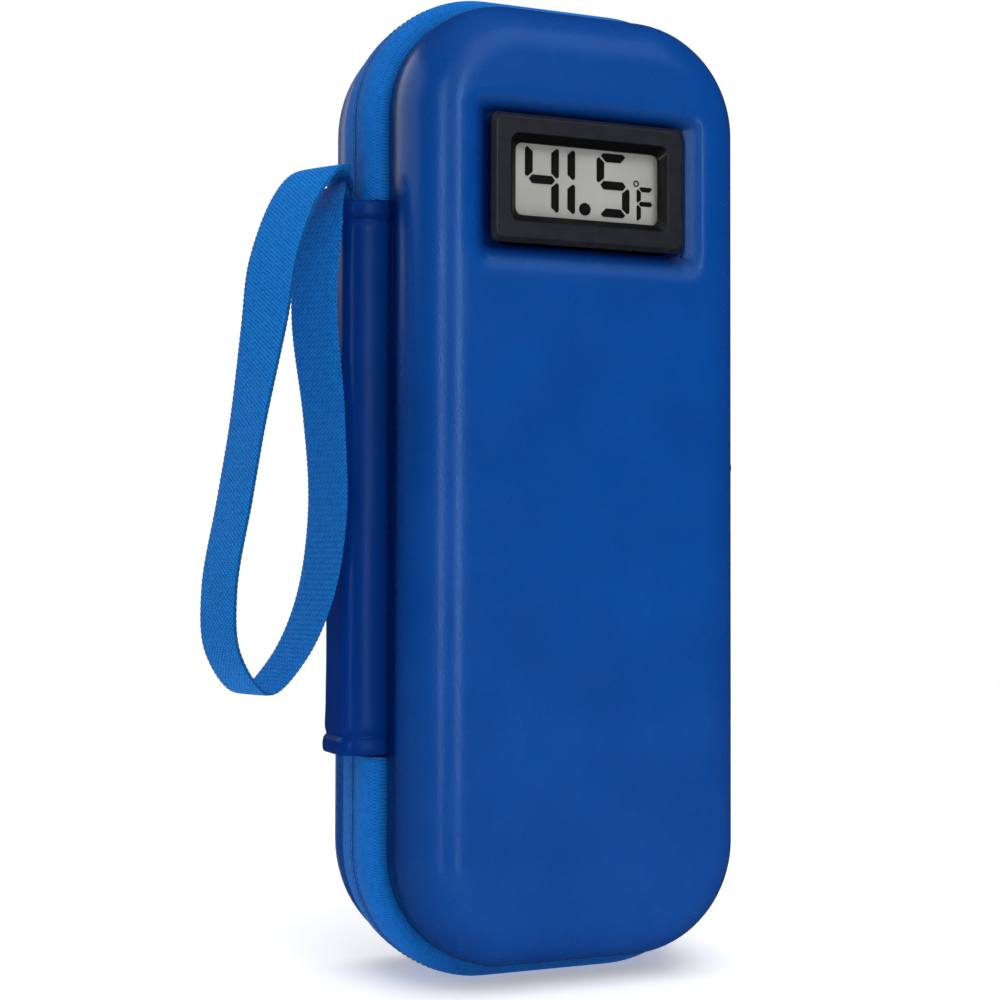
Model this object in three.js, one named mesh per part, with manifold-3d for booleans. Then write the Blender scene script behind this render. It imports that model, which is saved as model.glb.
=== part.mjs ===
// Zip-up insulin cooling case with a thermometer set into its lid.
// Millimetres, +Z up, front towards -Y. The case stands on its zipper band, and
// the origin is the middle of the base half's foot strip.
import * as THREE from 'three';
import { mergeVertices } from 'three/addons/utils/BufferGeometryUtils.js';
import Module from 'manifold-3d';

const wasm = await Module();
wasm.setup();

// Case outline at the zipper seam
const CASE_W = 92;
const CASE_H = 224;
const CORNER_R = 30;
const CORNER_STEPS = 9;
const INNER_STEPS = 6; // facets per corner of what lies inside
const SEAM_Y = -2.2; // seam plane, seen from the origin
const SEAM_GAP = 1.1; // open slit between the two tapes
const FIT = 0.3; // clearance between pieces that touch

// Lid half (front) and base half (rear)
const FRONT_DEPTH = 26.8; // seam to front face
const REAR_DEPTH = 26.8; // seam to back face
const FRONT_BAND = 8.2; // seam to the front shell's rim
const REAR_BAND = 10; // seam to the rear shell's rim
const FRONT_INSET = 4.5; // front shell inside the seam outline
const REAR_INSET = 1.5; // rear shell inside the seam outline
const SHELL_T = 3.6;
const RIM_ROUND = 0.8;
const FACE_FILLET = 12.5;
const FILLET_STEPS = 7;

// Zipper tapes and coils
const TAPE_T = 1.2;
const CROWN = 4; // flat part of each tape beside the seam
const SEWN_SHORT = 0.6; // tape's sewn edge, short of the face's round
const COIL_T = 1.5;
const COIL_W = 1.7;
const COIL_CHAMFER = 0.35;

// Insulating liners
const LINER_T = 3;
const LINER_LIP = 1.5; // liner where it passes the sewn margin
const LINER_MOUTH = 1.2; // liner's edge behind the tape's step
const LINER_WINDOW = 3; // room round the thermometer body

// Hinge spine cover
const SPINE_BOTTOM = 51.5;
const SPINE_HEAD = 49; // spine's top edge below the case's top
const SPINE_RISE = 4.8; // crest outside the seam outline
const SPINE_FLAT = 4.6; // half width of the flat crest
const SPINE_T = 1.2;
const SPINE_STEPS = 6;
const HEM_H = 4;
const HEM_T = 0.7;

// Wrist strap
const STRAP_W = 11;
const STRAP_T = 0.8;
const STRAP_GAP = 0.2; // between the two layers at the root
const STRAP_OFF = 0.4; // root's clearance to the seam outline
const STRAP_TURN = 25; // degrees that the loop turns towards the front
const STRAP_TWIST_RUN = 32; // free length in which it turns
const STRAP_FORWARD = 2; // how far the loop moves towards the front
const STRAP_EASE = 6; // outward run in which it moves
const STRAP_SEWN = 2; // run of the bow inside the sewn ends
const STRAP_RISE = 11; // webbing from the sewn ends to where the loop bends
const STRAP_RETURN = 8.5; // webbing from the loop back to the sewn ends
const STRAP_STEPS = 60;
const BOW_STEPS = 10;
const TAIL_H = 16;
const STRAP_REACH = 38; // how far the loop stands off the case
const STRAP_DROP = 108; // root to the bottom of the loop

// Thermometer
const GAUGE_DROP = 45; // its centre below the case's top
const BEZEL_W = 48;
const BEZEL_H = 28.6;
const BEZEL_T = 1.9;
const BEZEL_R = 1.6;
const BEZEL_BEVEL = 1;
const BEZEL_PROUD = 0.4; // bezel in front of the case's face
const BEZEL_LAP = 1.3; // bezel past the body behind it
const BODY_WALL = 1.5;
const BODY_R = 1;
const FRAME_SIDE = 4.5; // bezel beside the mouth
const FRAME_TOP = 4.6; // bezel above and below the mouth
const MOUTH_R = 1.6;
const MOUTH_TAPER = 1.7; // how far the mouth narrows on each side
const MOUTH_DEPTH = 1.6;
const FRONT_WALL = 2.3;
const WINDOW_T = 0.8;
const WINDOW_LAP = 1; // window behind the mouth's edge
const LCD_T = 1.4;
const LCD_LAP = 2.2;
const STRIP_T = 1.2;
const STRIP_H = 1.8;
const BOARD_T = 1;
const CELL_D = 11.6;
const CELL_T = 5.4;
const CELLS_X = -7; // middle of the pair
const CONTACT_T = 0.4;
const CONTACT_W = 3.6;
const COVER_T = 1.3;
const DOOR_LAP = 0.9; // door past the cells on each side
const BUTTON_X = 14;
const BUTTON_UP = 4.8;
const BUTTON_D = 5;
const BUTTON_FLANGE = 0.8;
const BUTTON_PROUD = 0.6;
const BUTTON_STROKE = 0.5;
const GLAND_X = 14;
const GLAND_DOWN = 4.6;
const GLAND_D = 5;
const GLAND_LIP = 1;
const GLAND_BORE = 2.6;
const GLAND_PROUD = 1.2;
const CLIP_W = 9;
const CLIP_OUT = 1.5;
const CLIP_RUN = 4;
const RECESS_MARGIN = 4.6; // recess beyond the bezel
const RECESS_R = 9;
const RECESS_FLOOR = 1; // flat floor beyond the bezel

// Zipper sliders
const SLIDER_MEET_Z = 120;
const SLIDER_L = 11;
const SLIDER_W = 8.6;
const SLIDER_TAIL_W = 6.6;
const SLIDER_PLATE = 1;
const SLIDER_NECK_T = 0.5;
const SLIDER_NECK_L = 3;
const BRIDGE_W = 2;
const BRIDGE_T = 0.7;
const BRIDGE_L = 9;
const BRIDGE_ROOM = 1.4; // under the bridge
const PULL_T = 0.7;
const PULL_L = 14;
const PULL_EYE_W = 5.6;
const PULL_EYE_L = 8;
const PULL_WAIST_W = 4;
const PULL_TIP_W = 6.4;
const PULL_LEAN = 10.5; // upper pull leans on the lower slider, degrees

// Cold packs and what holds them
const PACK_T = 7.6;
const PACK_EDGE = 1.6; // welded edge of a pack
const PACK_WELD = 0.6; // thickness of that edge
const PACK_ROUND = 5.2; // pillow's round between edge and face
const PACK_CORNER = 6.4;
const PACK_STEPS = 3;
const FRONT_PACK_W = 60;
const FRONT_PACK_UP = 5; // above the liner's lower wall
const FRONT_PACK_DOWN = 9.6; // below the pocket's edge
const REAR_PACK_W = 64;
const REAR_PACK_ENDS = 22; // case beyond the pack at each end
const POCKET_T = 0.8;
const POCKET_BELOW = 16; // pocket's edge below the thermometer's body
const BINDING_H = 6;
const BINDING_T = 1.8;
const BOARD_PANEL_T = 1.5;
const ELASTIC_H = 20;
const ELASTIC_T = 1;
const ELASTIC_RISE = 2.6;
const ELASTIC_LOOPS = 3;
const ELASTIC_STEPS = 8;
const ELASTIC_LOW_Z = 70;
const ELASTIC_HEAD = 72; // upper band below the case's top

const FRONT = -1;
const REAR = 1;
const MID_Z = CASE_H / 2;
const SPINE_TOP = CASE_H - SPINE_HEAD;
const GAUGE_Z = CASE_H - GAUGE_DROP;
const CELL_PITCH = CELL_D + CONTACT_T + 2 * FIT; // a contact stands between the cells
const BODY_W = BEZEL_W - 2 * BEZEL_LAP;
const BODY_H = BEZEL_H - 2 * BEZEL_LAP;
const MOUTH_W = BEZEL_W - 2 * FRAME_SIDE;
const MOUTH_H = BEZEL_H - 2 * FRAME_TOP;
const RECESS_W = BEZEL_W + 2 * RECESS_MARGIN;
const RECESS_H = BEZEL_H + 2 * RECESS_MARGIN;
const POCKET_TOP = GAUGE_Z - BODY_H / 2 - POCKET_BELOW;

// Colours
const colour = (hex, roughness, metalness = 0) => new THREE.MeshStandardMaterial({ color: hex, roughness, metalness });
const skinBlue = colour(0x174c9e, 0.5);
const tapeBlue = colour(0x1f66c0, 0.8);
const spineBlue = colour(0x123a86, 0.4);
const webBlue = colour(0x1070cc, 0.75);
const coilBlue = colour(0x174f9c, 0.5);
const foil = colour(0xc9ced4, 0.35, 0.6);
const bezelBlack = colour(0x232428, 0.5);
const clear = colour(0xdfe5e6, 0.05);
const lcdGrey = colour(0xa5a6a2, 0.3);
const boardGreen = colour(0x1d5a34, 0.5);
const rubberBlack = colour(0x1b1b1c, 0.8);
const steel = colour(0xb9bcc0, 0.3, 1);
const zinc = colour(0x2b5fae, 0.4, 0.3);
const gelBlue = colour(0x8fc3e6, 0.3);
const netBlack = colour(0x20232a, 0.9);
const elasticBlack = colour(0x1a1c22, 0.9);

// Closed surface with its faces turned outwards.
function closed(points, triangles) {
  let volume = 0;
  const cross = new THREE.Vector3();
  for (let i = 0; i < triangles.length; i += 3) {
    const [a, b, c] = [points[triangles[i]], points[triangles[i + 1]], points[triangles[i + 2]]];
    volume += a.dot(cross.crossVectors(b, c));
  }
  const order = triangles.slice();
  if (volume < 0) {
    order.reverse();
  }
  const geometry = new THREE.BufferGeometry();
  geometry.setAttribute('position', new THREE.Float32BufferAttribute(points.flatMap((p) => [p.x, p.y, p.z]), 3));
  geometry.setIndex(order);
  return geometry;
}

// Skin over a row of outlines that have equal point counts. A ring joins the last to the first.
function loft(outlines, ring = false) {
  const n = outlines[0].length;
  const points = outlines.flat();
  const triangles = [];
  const spans = ring ? outlines.length : outlines.length - 1;
  for (let s = 0; s < spans; s++) {
    const here = s * n;
    const next = ((s + 1) % outlines.length) * n;
    for (let k = 0; k < n; k++) {
      const m = (k + 1) % n;
      triangles.push(here + k, here + m, next + m, here + k, next + m, next + k);
    }
  }
  if (!ring) {
    for (const [start, flip] of [[0, true], [(outlines.length - 1) * n, false]]) {
      const middle = new THREE.Vector3();
      for (let k = 0; k < n; k++) {
        middle.addScaledVector(points[start + k], 1 / n);
      }
      points.push(middle);
      for (let k = 0; k < n; k++) {
        const pair = [start + k, start + ((k + 1) % n)];
        triangles.push(...(flip ? pair.reverse() : pair), points.length - 1);
      }
    }
  }
  return closed(points, triangles);
}

// Rounded rectangle in the plane of one y.
function rounded(w, h, r, y, x = 0, z = 0, steps = CORNER_STEPS) {
  const outline = [];
  const corners = [[1, 1], [-1, 1], [-1, -1], [1, -1]];
  corners.forEach(([sx, sz], quarter) => {
    for (let k = 0; k <= steps; k++) {
      const a = ((quarter + k / steps) * Math.PI) / 2;
      outline.push(new THREE.Vector3(
        x + sx * (w / 2 - r) + r * Math.cos(a),
        y,
        z + sz * (h / 2 - r) + r * Math.sin(a),
      ));
    }
  });
  return outline;
}

// Case outline at an inset from the seam outline.
function caseOutline(inset, y, steps = CORNER_STEPS) {
  return rounded(CASE_W - 2 * inset, CASE_H - 2 * inset, CORNER_R - inset, y, 0, MID_Z, steps);
}

function caseRing(profile, side, steps) {
  return loft(profile.map(([inset, depth]) => caseOutline(inset, side * depth, steps)), true);
}

function caseTray(profile, side, steps) {
  return loft(profile.map(([inset, depth]) => caseOutline(inset, side * depth, steps)));
}

// Path moved sideways by t, with mitred corners; positive is inwards.
function offsetPath(path, t) {
  const normals = path.slice(1).map(([x, y], i) => {
    const [dx, dy] = [x - path[i][0], y - path[i][1]];
    const length = Math.hypot(dx, dy);
    return [dy / length, -dx / length];
  });
  return path.map(([x, y], i) => {
    const a = normals[Math.max(i - 1, 0)];
    const b = normals[Math.min(i, normals.length - 1)];
    const scale = t / (1 + a[0] * b[0] + a[1] * b[1]);
    return [x + (a[0] + b[0]) * scale, y + (a[1] + b[1]) * scale];
  });
}

const strip = (path, t) => [...path, ...offsetPath(path, t).reverse()];
const arc = (x, y, rx, ry, from, to, steps) => Array.from({ length: steps + 1 }, (_, k) => {
  const a = THREE.MathUtils.degToRad(from + ((to - from) * k) / steps);
  return [x + rx * Math.cos(a), y + ry * Math.sin(a)];
});

// Prisms: an outline in two axes, drawn out along the third.
function prism(outline, from, to, place) {
  const shape = new THREE.Shape(outline.map(([a, b]) => new THREE.Vector2(a, b)));
  const raw = new THREE.ExtrudeGeometry(shape, { depth: to - from, bevelEnabled: false });
  return closedFrom(raw, (p) => place(p.x, p.y, p.z + from));
}
const prismX = (outline, from, to) => prism(outline, from, to, (a, b, c) => new THREE.Vector3(c, a, b));
const prismY = (outline, from, to) => prism(outline, from, to, (a, b, c) => new THREE.Vector3(a, c, b));
const prismZ = (outline, from, to) => prism(outline, from, to, (a, b, c) => new THREE.Vector3(a, b, c));
const rect = (x0, y0, x1, y1) => [[x0, y0], [x1, y0], [x1, y1], [x0, y1]];

function closedFrom(raw, move) {
  raw.deleteAttribute('normal');
  raw.deleteAttribute('uv');
  const merged = mergeVertices(raw, 1e-5);
  const at = merged.getAttribute('position');
  const points = Array.from({ length: at.count }, (_, i) => move(new THREE.Vector3().fromBufferAttribute(at, i)));
  return closed(points, Array.from(merged.index.array));
}

// Turned piece: a [radius, y] profile round a line along Y.
function turned(profile, x, z, steps = 18) {
  const raw = new THREE.LatheGeometry(profile.map(([r, y]) => new THREE.Vector2(r, y)), steps);
  return closedFrom(raw, (p) => new THREE.Vector3(p.x + x, p.y, p.z + z));
}

function solid(geometry) {
  return new wasm.Manifold(new wasm.Mesh({
    numProp: 3,
    vertProperties: new Float32Array(geometry.getAttribute('position').array),
    triVerts: new Uint32Array(geometry.index.array),
  }));
}

function combine(start, added, cut = []) {
  let body = solid(start);
  for (const piece of added) {
    body = body.add(solid(piece));
  }
  for (const piece of cut) {
    body = body.subtract(solid(piece));
  }
  const mesh = body.getMesh();
  const geometry = new THREE.BufferGeometry();
  geometry.setAttribute('position', new THREE.Float32BufferAttribute(mesh.vertProperties, 3));
  geometry.setIndex(Array.from(mesh.triVerts));
  return geometry;
}

// Shell half: a tray with a rolled rim and a wide round to its face.
function shellProfile(inset, band, depth) {
  const centre = inset + FACE_FILLET;
  const start = depth - FACE_FILLET;
  const innerR = FACE_FILLET - SHELL_T;
  return [
    ...arc(centre, start, FACE_FILLET, FACE_FILLET, 90, 180, FILLET_STEPS),
    ...arc(inset + RIM_ROUND, band + RIM_ROUND, RIM_ROUND, RIM_ROUND, 180, 270, 3),
    [inset + SHELL_T, band],
    ...arc(centre, start, innerR, innerR, 180, 90, FILLET_STEPS),
  ];
}

// Liner half: hugs the shell, steps round the tape's sewn margin.
function linerProfile(inset, band, depth) {
  const centre = inset + FACE_FILLET;
  const start = depth - FACE_FILLET;
  const outerR = FACE_FILLET - SHELL_T - FIT;
  const innerR = outerR - LINER_T;
  const lip = inset + SHELL_T + FIT + TAPE_T + FIT;
  const lipEnd = start - SEWN_SHORT + FIT;
  const mouth = band - FIT - TAPE_T + LINER_MOUTH;
  return [
    ...arc(centre, start, outerR, outerR, 90, 180, INNER_STEPS),
    [centre - outerR, lipEnd],
    [lip, lipEnd],
    [lip, mouth],
    [lip + LINER_LIP, mouth],
    ...arc(centre, start, innerR, innerR, 180, 90, INNER_STEPS),
  ];
}

const linerInset = (inset) => inset + SHELL_T + FIT + LINER_T;
const linerFace = (depth) => depth - SHELL_T - FIT - LINER_T;

// Zipper tape: flat beside the seam, sloped to the rim, then stepped in and sewn to the wall.
function tapePath(inset, band, depth) {
  const step = band - FIT;
  const wall = inset + SHELL_T + FIT;
  return [
    [0, SEAM_GAP / 2],
    [0, CROWN],
    [inset - FIT, step],
    [wall, step],
    [wall, depth - FACE_FILLET - SEWN_SHORT],
  ];
}

// Space that the hinge spine takes from the zipper band on the left side.
function spineSpace(side, inset, margin) {
  const right = -CASE_W / 2 + inset;
  const y = side * REAR_DEPTH;
  return prismZ(
    rect(-CASE_W / 2 - SPINE_RISE, Math.min(0, y), right, Math.max(0, y)),
    SPINE_BOTTOM - margin,
    SPINE_TOP + margin,
  );
}

function tape(side, inset, band, depth) {
  const ring = caseRing(strip(tapePath(inset, band, depth), TAPE_T), side);
  return combine(ring, [], [spineSpace(side, inset + TAPE_T, FIT)]);
}

function coil(side) {
  const near = TAPE_T + FIT;
  const [x0, x1] = [near, near + COIL_T];
  const [y0, y1] = [SEAM_GAP / 2, SEAM_GAP / 2 + COIL_W];
  const c = COIL_CHAMFER;
  const profile = [
    [x0 + c, y0], [x1 - c, y0], [x1, y0 + c], [x1, y1 - c], [x1 - c, y1], [x0 + c, y1], [x0, y1 - c], [x0, y0 + c],
  ];
  return combine(caseRing(profile, side, INNER_STEPS), [], [spineSpace(side, x1 + FIT, FIT)]);
}

// Spine leaf: half of the hinge cover, from the fold line to its shell's rim, with a hem at each end.
function spineLeaf(side, inset, band) {
  const edge = inset - FIT;
  const path = [
    [-SPINE_RISE, FIT / 2],
    ...arc(edge, SPINE_FLAT, edge + SPINE_RISE, band - FIT - SPINE_FLAT, 180, 90, SPINE_STEPS),
  ];
  const place = (outline) => outline.map(([i, depth]) => [-CASE_W / 2 + i, side * depth]);
  const leaf = prismZ(place(strip(path, SPINE_T)), SPINE_BOTTOM, SPINE_TOP);
  const hem = place(strip(offsetPath(path, -HEM_T), HEM_T + SPINE_T / 2));
  return combine(leaf, [
    prismZ(hem, SPINE_BOTTOM, SPINE_BOTTOM + HEM_H),
    prismZ(hem, SPINE_TOP - HEM_H, SPINE_TOP),
  ]);
}

// Strap: webbing that rises from two sewn ends, turns over and hangs as a loop.
const layerStep = (STRAP_T + STRAP_GAP) / 2;
const rootX = -CASE_W / 2 - STRAP_OFF - STRAP_T - STRAP_GAP / 2;
const strapLine = new THREE.CatmullRomCurve3([
  [-layerStep, -STRAP_SEWN], [-layerStep, FIT], [-layerStep + 0.2, 3.4], [2.4, 6.2], [9, 5.6], [15.6, -0.6],
  [0.59 * STRAP_REACH, -0.14 * STRAP_DROP], [0.68 * STRAP_REACH, -0.27 * STRAP_DROP],
  [0.8 * STRAP_REACH, -0.44 * STRAP_DROP], [0.93 * STRAP_REACH, -0.62 * STRAP_DROP],
  [STRAP_REACH, -0.8 * STRAP_DROP], [0.95 * STRAP_REACH, -0.92 * STRAP_DROP], [0.73 * STRAP_REACH, -STRAP_DROP],
  [0.47 * STRAP_REACH, -0.94 * STRAP_DROP], [0.26 * STRAP_REACH, -0.82 * STRAP_DROP],
  [0.16 * STRAP_REACH, -0.65 * STRAP_DROP], [0.19 * STRAP_REACH, -0.45 * STRAP_DROP],
  [0.27 * STRAP_REACH, -0.25 * STRAP_DROP], [9.6, -13], [7, -2.2], [3.2, 3.1], [1.1, 2.4],
  [layerStep, FIT], [layerStep, -STRAP_SEWN],
].map(([u, z]) => new THREE.Vector3(u, 0, z)), false, 'centripetal');
const strapLength = strapLine.getLength();

function webbing(from, to, steps) {
  const turn = THREE.MathUtils.degToRad(STRAP_TURN);
  const out = new THREE.Vector3(-Math.cos(turn), -Math.sin(turn), 0);
  const outlines = [];
  for (let k = 0; k <= steps; k++) {
    const run = from + ((to - from) * k) / steps;
    const t = run / strapLength;
    const at = strapLine.getPointAt(t);
    const along = strapLine.getTangentAt(t);
    const free = Math.max(0, Math.min(run, strapLength - run) - STRAP_SEWN - FIT);
    const twist = turn * Math.min(1, free / STRAP_TWIST_RUN);
    const across = new THREE.Vector3(-Math.sin(twist), Math.cos(twist), 0);
    const tangent = new THREE.Vector3().addScaledVector(out, along.x).setZ(along.z).normalize();
    const thick = new THREE.Vector3().crossVectors(tangent, across).normalize();
    const forward = (STRAP_FORWARD - out.y * at.x) * THREE.MathUtils.smoothstep(at.x, layerStep, STRAP_EASE);
    const centre = new THREE.Vector3(rootX + out.x * at.x, -forward, SPINE_TOP + at.z);
    outlines.push([[1, 1], [-1, 1], [-1, -1], [1, -1]].map(([a, b]) => centre.clone()
      .addScaledVector(across, (a * STRAP_W) / 2)
      .addScaledVector(thick, (b * STRAP_T) / 2)));
  }
  return loft(outlines);
}

// Ends sewn flat in two layers under the top hem, with the bow that the loop hangs from.
function strapTails() {
  const half = layerStep + STRAP_T / 2;
  const sewn = prismZ(rect(rootX - half, -STRAP_W / 2, rootX + half, STRAP_W / 2), SPINE_TOP - TAIL_H, SPINE_TOP);
  return combine(sewn, [
    webbing(0, STRAP_RISE, BOW_STEPS),
    webbing(strapLength - STRAP_RETURN, strapLength, BOW_STEPS),
  ]);
}

function wristStrap() {
  return webbing(STRAP_RISE + FIT, strapLength - STRAP_RETURN - FIT, STRAP_STEPS);
}

// Depths inside the thermometer, from the bezel's front backwards
const bezelY = -(FRONT_DEPTH + BEZEL_PROUD);
const floorAt = BEZEL_T + FIT;
const windowAt = FRONT_WALL + FIT;
const lcdAt = windowAt + WINDOW_T + FIT;
const stripAt = lcdAt + LCD_T + FIT;
const boardAt = stripAt + STRIP_T + FIT;
const cellsAt = boardAt + BOARD_T + FIT;
const coverAt = cellsAt + CELL_T + FIT;
const backAt = coverAt + COVER_T;
const gaugeOutline = (w, h, r, at, steps = 3) => rounded(w, h, r, bezelY + at, 0, GAUGE_Z, steps);
const gaugePlate = (w, h, r, from, to) => loft([gaugeOutline(w, h, r, from), gaugeOutline(w, h, r, to)]);
const innerW = BODY_W - 2 * BODY_WALL;
const innerH = BODY_H - 2 * BODY_WALL;
const lensW = MOUTH_W - 2 * MOUTH_TAPER;
const lensH = MOUTH_H - 2 * MOUTH_TAPER;
const cellZ = GAUGE_Z;
const doorW = CELL_PITCH + CELL_D + 2 * DOOR_LAP;
const doorH = CELL_D + 2 * DOOR_LAP;

function frontShell() {
  const tray = caseTray(shellProfile(FRONT_INSET, FRONT_BAND, FRONT_DEPTH), FRONT);
  const floorW = BEZEL_W + 2 * RECESS_FLOOR;
  const floorH = BEZEL_H + 2 * RECESS_FLOOR;
  const floorR = BEZEL_R + RECESS_FLOOR;
  const sunk = BEZEL_PROUD;
  const slope = [0, 0.12, 0.5, 0.88, 1].map((t, i) => {
    const at = sunk + ((floorAt - sunk) * i) / 4;
    const mix = (a, b) => a + (b - a) * t;
    return gaugeOutline(mix(RECESS_W, floorW), mix(RECESS_H, floorH), mix(RECESS_R, floorR), at, 5);
  });
  const above = gaugeOutline(RECESS_W, RECESS_H, RECESS_R, sunk - 2 * FIT, 5);
  const cutOut = gaugePlate(BODY_W + 2 * FIT, BODY_H + 2 * FIT, BODY_R + FIT, 0, SHELL_T * 2);
  return combine(tray, [], [loft([above, ...slope]), cutOut]);
}

function frontLiner() {
  const tray = caseTray(linerProfile(FRONT_INSET, FRONT_BAND, FRONT_DEPTH), FRONT, INNER_STEPS);
  const room = 2 * (CLIP_OUT + LINER_WINDOW);
  return combine(tray, [], [gaugePlate(BODY_W + room, BODY_H + 2 * LINER_WINDOW, LINER_WINDOW, 0, backAt)]);
}

function displayHousing() {
  const bezel = loft([
    gaugeOutline(BEZEL_W - 2 * BEZEL_BEVEL, BEZEL_H - 2 * BEZEL_BEVEL, BEZEL_R, 0),
    gaugeOutline(BEZEL_W, BEZEL_H, BEZEL_R, BEZEL_BEVEL),
    gaugeOutline(BEZEL_W, BEZEL_H, BEZEL_R, BEZEL_T),
  ]);
  const body = gaugePlate(BODY_W, BODY_H, BODY_R, BEZEL_BEVEL, backAt);
  const hollow = gaugePlate(innerW, innerH, BODY_R / 2, FRONT_WALL, backAt + FIT);
  const mouth = loft([
    gaugeOutline(MOUTH_W, MOUTH_H, MOUTH_R, -FIT),
    gaugeOutline(MOUTH_W, MOUTH_H, MOUTH_R, 0),
    gaugeOutline(lensW, lensH, MOUTH_R, MOUTH_DEPTH),
    gaugeOutline(lensW, lensH, MOUTH_R, FRONT_WALL + FIT),
  ]);
  // Sprung clips hook behind the shell's wall.
  const hook = FRONT_DEPTH + BEZEL_PROUD - (FRONT_DEPTH - SHELL_T) + FIT;
  const clips = [-1, 1].map((s) => prismZ(
    [
      [s * (BODY_W / 2 - BODY_WALL / 2), bezelY + hook],
      [s * (BODY_W / 2 + CLIP_OUT), bezelY + hook],
      [s * (BODY_W / 2 + CLIP_OUT), bezelY + hook + CLIP_OUT / 2],
      [s * (BODY_W / 2 - BODY_WALL / 2), bezelY + hook + CLIP_RUN + CLIP_OUT / 2],
    ],
    GAUGE_Z - CLIP_W / 2,
    GAUGE_Z + CLIP_W / 2,
  ));
  return combine(bezel, [body, ...clips], [hollow, mouth]);
}

const displayWindow = () => gaugePlate(
  lensW + 2 * WINDOW_LAP,
  lensH + 2 * WINDOW_LAP,
  MOUTH_R,
  windowAt,
  windowAt + WINDOW_T,
);
const lcdPanel = () => gaugePlate(lensW + 2 * LCD_LAP, lensH + 2 * LCD_LAP, BODY_R / 2, lcdAt, lcdAt + LCD_T);
const circuitBoard = () => gaugePlate(innerW - 2 * FIT, innerH - 2 * FIT, BODY_R / 2, boardAt, boardAt + BOARD_T);

function contactStrip() {
  const bottom = GAUGE_Z - lensH / 2 - LCD_LAP + FIT;
  return prismY(rect(-lensW / 2, bottom, lensW / 2, bottom + STRIP_H), bezelY + stripAt, bezelY + stripAt + STRIP_T);
}

function buttonCell(side) {
  const y0 = bezelY + cellsAt;
  const y1 = y0 + CELL_T;
  const r = CELL_D / 2;
  const rim = CELL_T / 6;
  const profile = [[0, y0], [r - rim, y0], [r, y0 + rim], [r, y1], [0, y1]];
  return turned(profile, CELLS_X + (side * CELL_PITCH) / 2, cellZ, 20);
}

function cellContact() {
  const top = cellZ - CELL_D / 2 - FIT;
  const half = (CELL_PITCH + CELL_D) / 2;
  const y = bezelY + cellsAt + CELL_T / 2;
  const blade = prismZ(
    rect(CELLS_X - half, y - CONTACT_W / 2, CELLS_X + half, y + CONTACT_W / 2),
    top - CONTACT_T,
    top,
  );
  // A tongue rises between the two cells.
  const tongue = prismZ(
    rect(CELLS_X - CONTACT_T / 2, y - CONTACT_W / 2, CELLS_X + CONTACT_T / 2, y + CONTACT_W / 2),
    top - CONTACT_T / 2,
    cellZ,
  );
  return combine(blade, [tongue]);
}

const doorOutline = (grow, at) => rounded(doorW + 2 * grow, doorH + 2 * grow, BODY_R, bezelY + at, CELLS_X, cellZ, 3);
const batteryDoor = () => {
  const plate = loft([doorOutline(0, coverAt), doorOutline(0, backAt)]);
  // Finger ribs across the door.
  const ribs = [-1, 0, 1].map((k) => prismX(
    rect(bezelY + backAt - FIT, cellZ + k * 2 - FIT, bezelY + backAt + FIT, cellZ + k * 2 + FIT),
    CELLS_X - doorW / 6,
    CELLS_X + doorW / 6,
  ));
  return combine(plate, ribs);
};

function bore(d, x, z) {
  return turned([[0, bezelY + boardAt], [d / 2, bezelY + boardAt], [d / 2, bezelY + backAt + 1], [0, bezelY + backAt + 1]], x, z);
}

function housingCover() {
  const plate = gaugePlate(innerW - 2 * FIT, innerH - 2 * FIT, BODY_R / 2, coverAt, backAt);
  return combine(plate, [], [
    loft([doorOutline(FIT, coverAt - FIT), doorOutline(FIT, backAt + FIT)]),
    bore(BUTTON_D + 2 * FIT, BUTTON_X, GAUGE_Z + BUTTON_UP),
    bore(GLAND_D + 2 * FIT, GLAND_X, GAUGE_Z - GLAND_DOWN),
  ]);
}

function unitButton() {
  const r = BUTTON_D / 2;
  const end = bezelY + backAt + BUTTON_PROUD;
  const flange = bezelY + coverAt - FIT;
  const foot = bezelY + boardAt + BOARD_T + BUTTON_STROKE + FIT;
  return turned([
    [0, foot], [r / 2, foot], [r / 2, flange - BUTTON_FLANGE], [r + BUTTON_FLANGE, flange - BUTTON_FLANGE],
    [r + BUTTON_FLANGE, flange], [r, flange], [r, end - FIT], [r - FIT, end], [0, end],
  ], BUTTON_X, GAUGE_Z + BUTTON_UP);
}

function probeGland() {
  const r = GLAND_D / 2;
  const bored = GLAND_BORE / 2;
  const inside = bezelY + coverAt - FIT;
  const outside = bezelY + backAt + FIT;
  return turned([
    [bored, inside - GLAND_LIP], [r + GLAND_LIP, inside - GLAND_LIP], [r + GLAND_LIP, inside], [r, inside],
    [r, outside], [r + GLAND_LIP, outside], [r + GLAND_LIP / 2, outside + GLAND_PROUD],
    [bored, outside + GLAND_PROUD], [bored, inside - GLAND_LIP],
  ], GLAND_X, GAUGE_Z - GLAND_DOWN);
}

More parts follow.
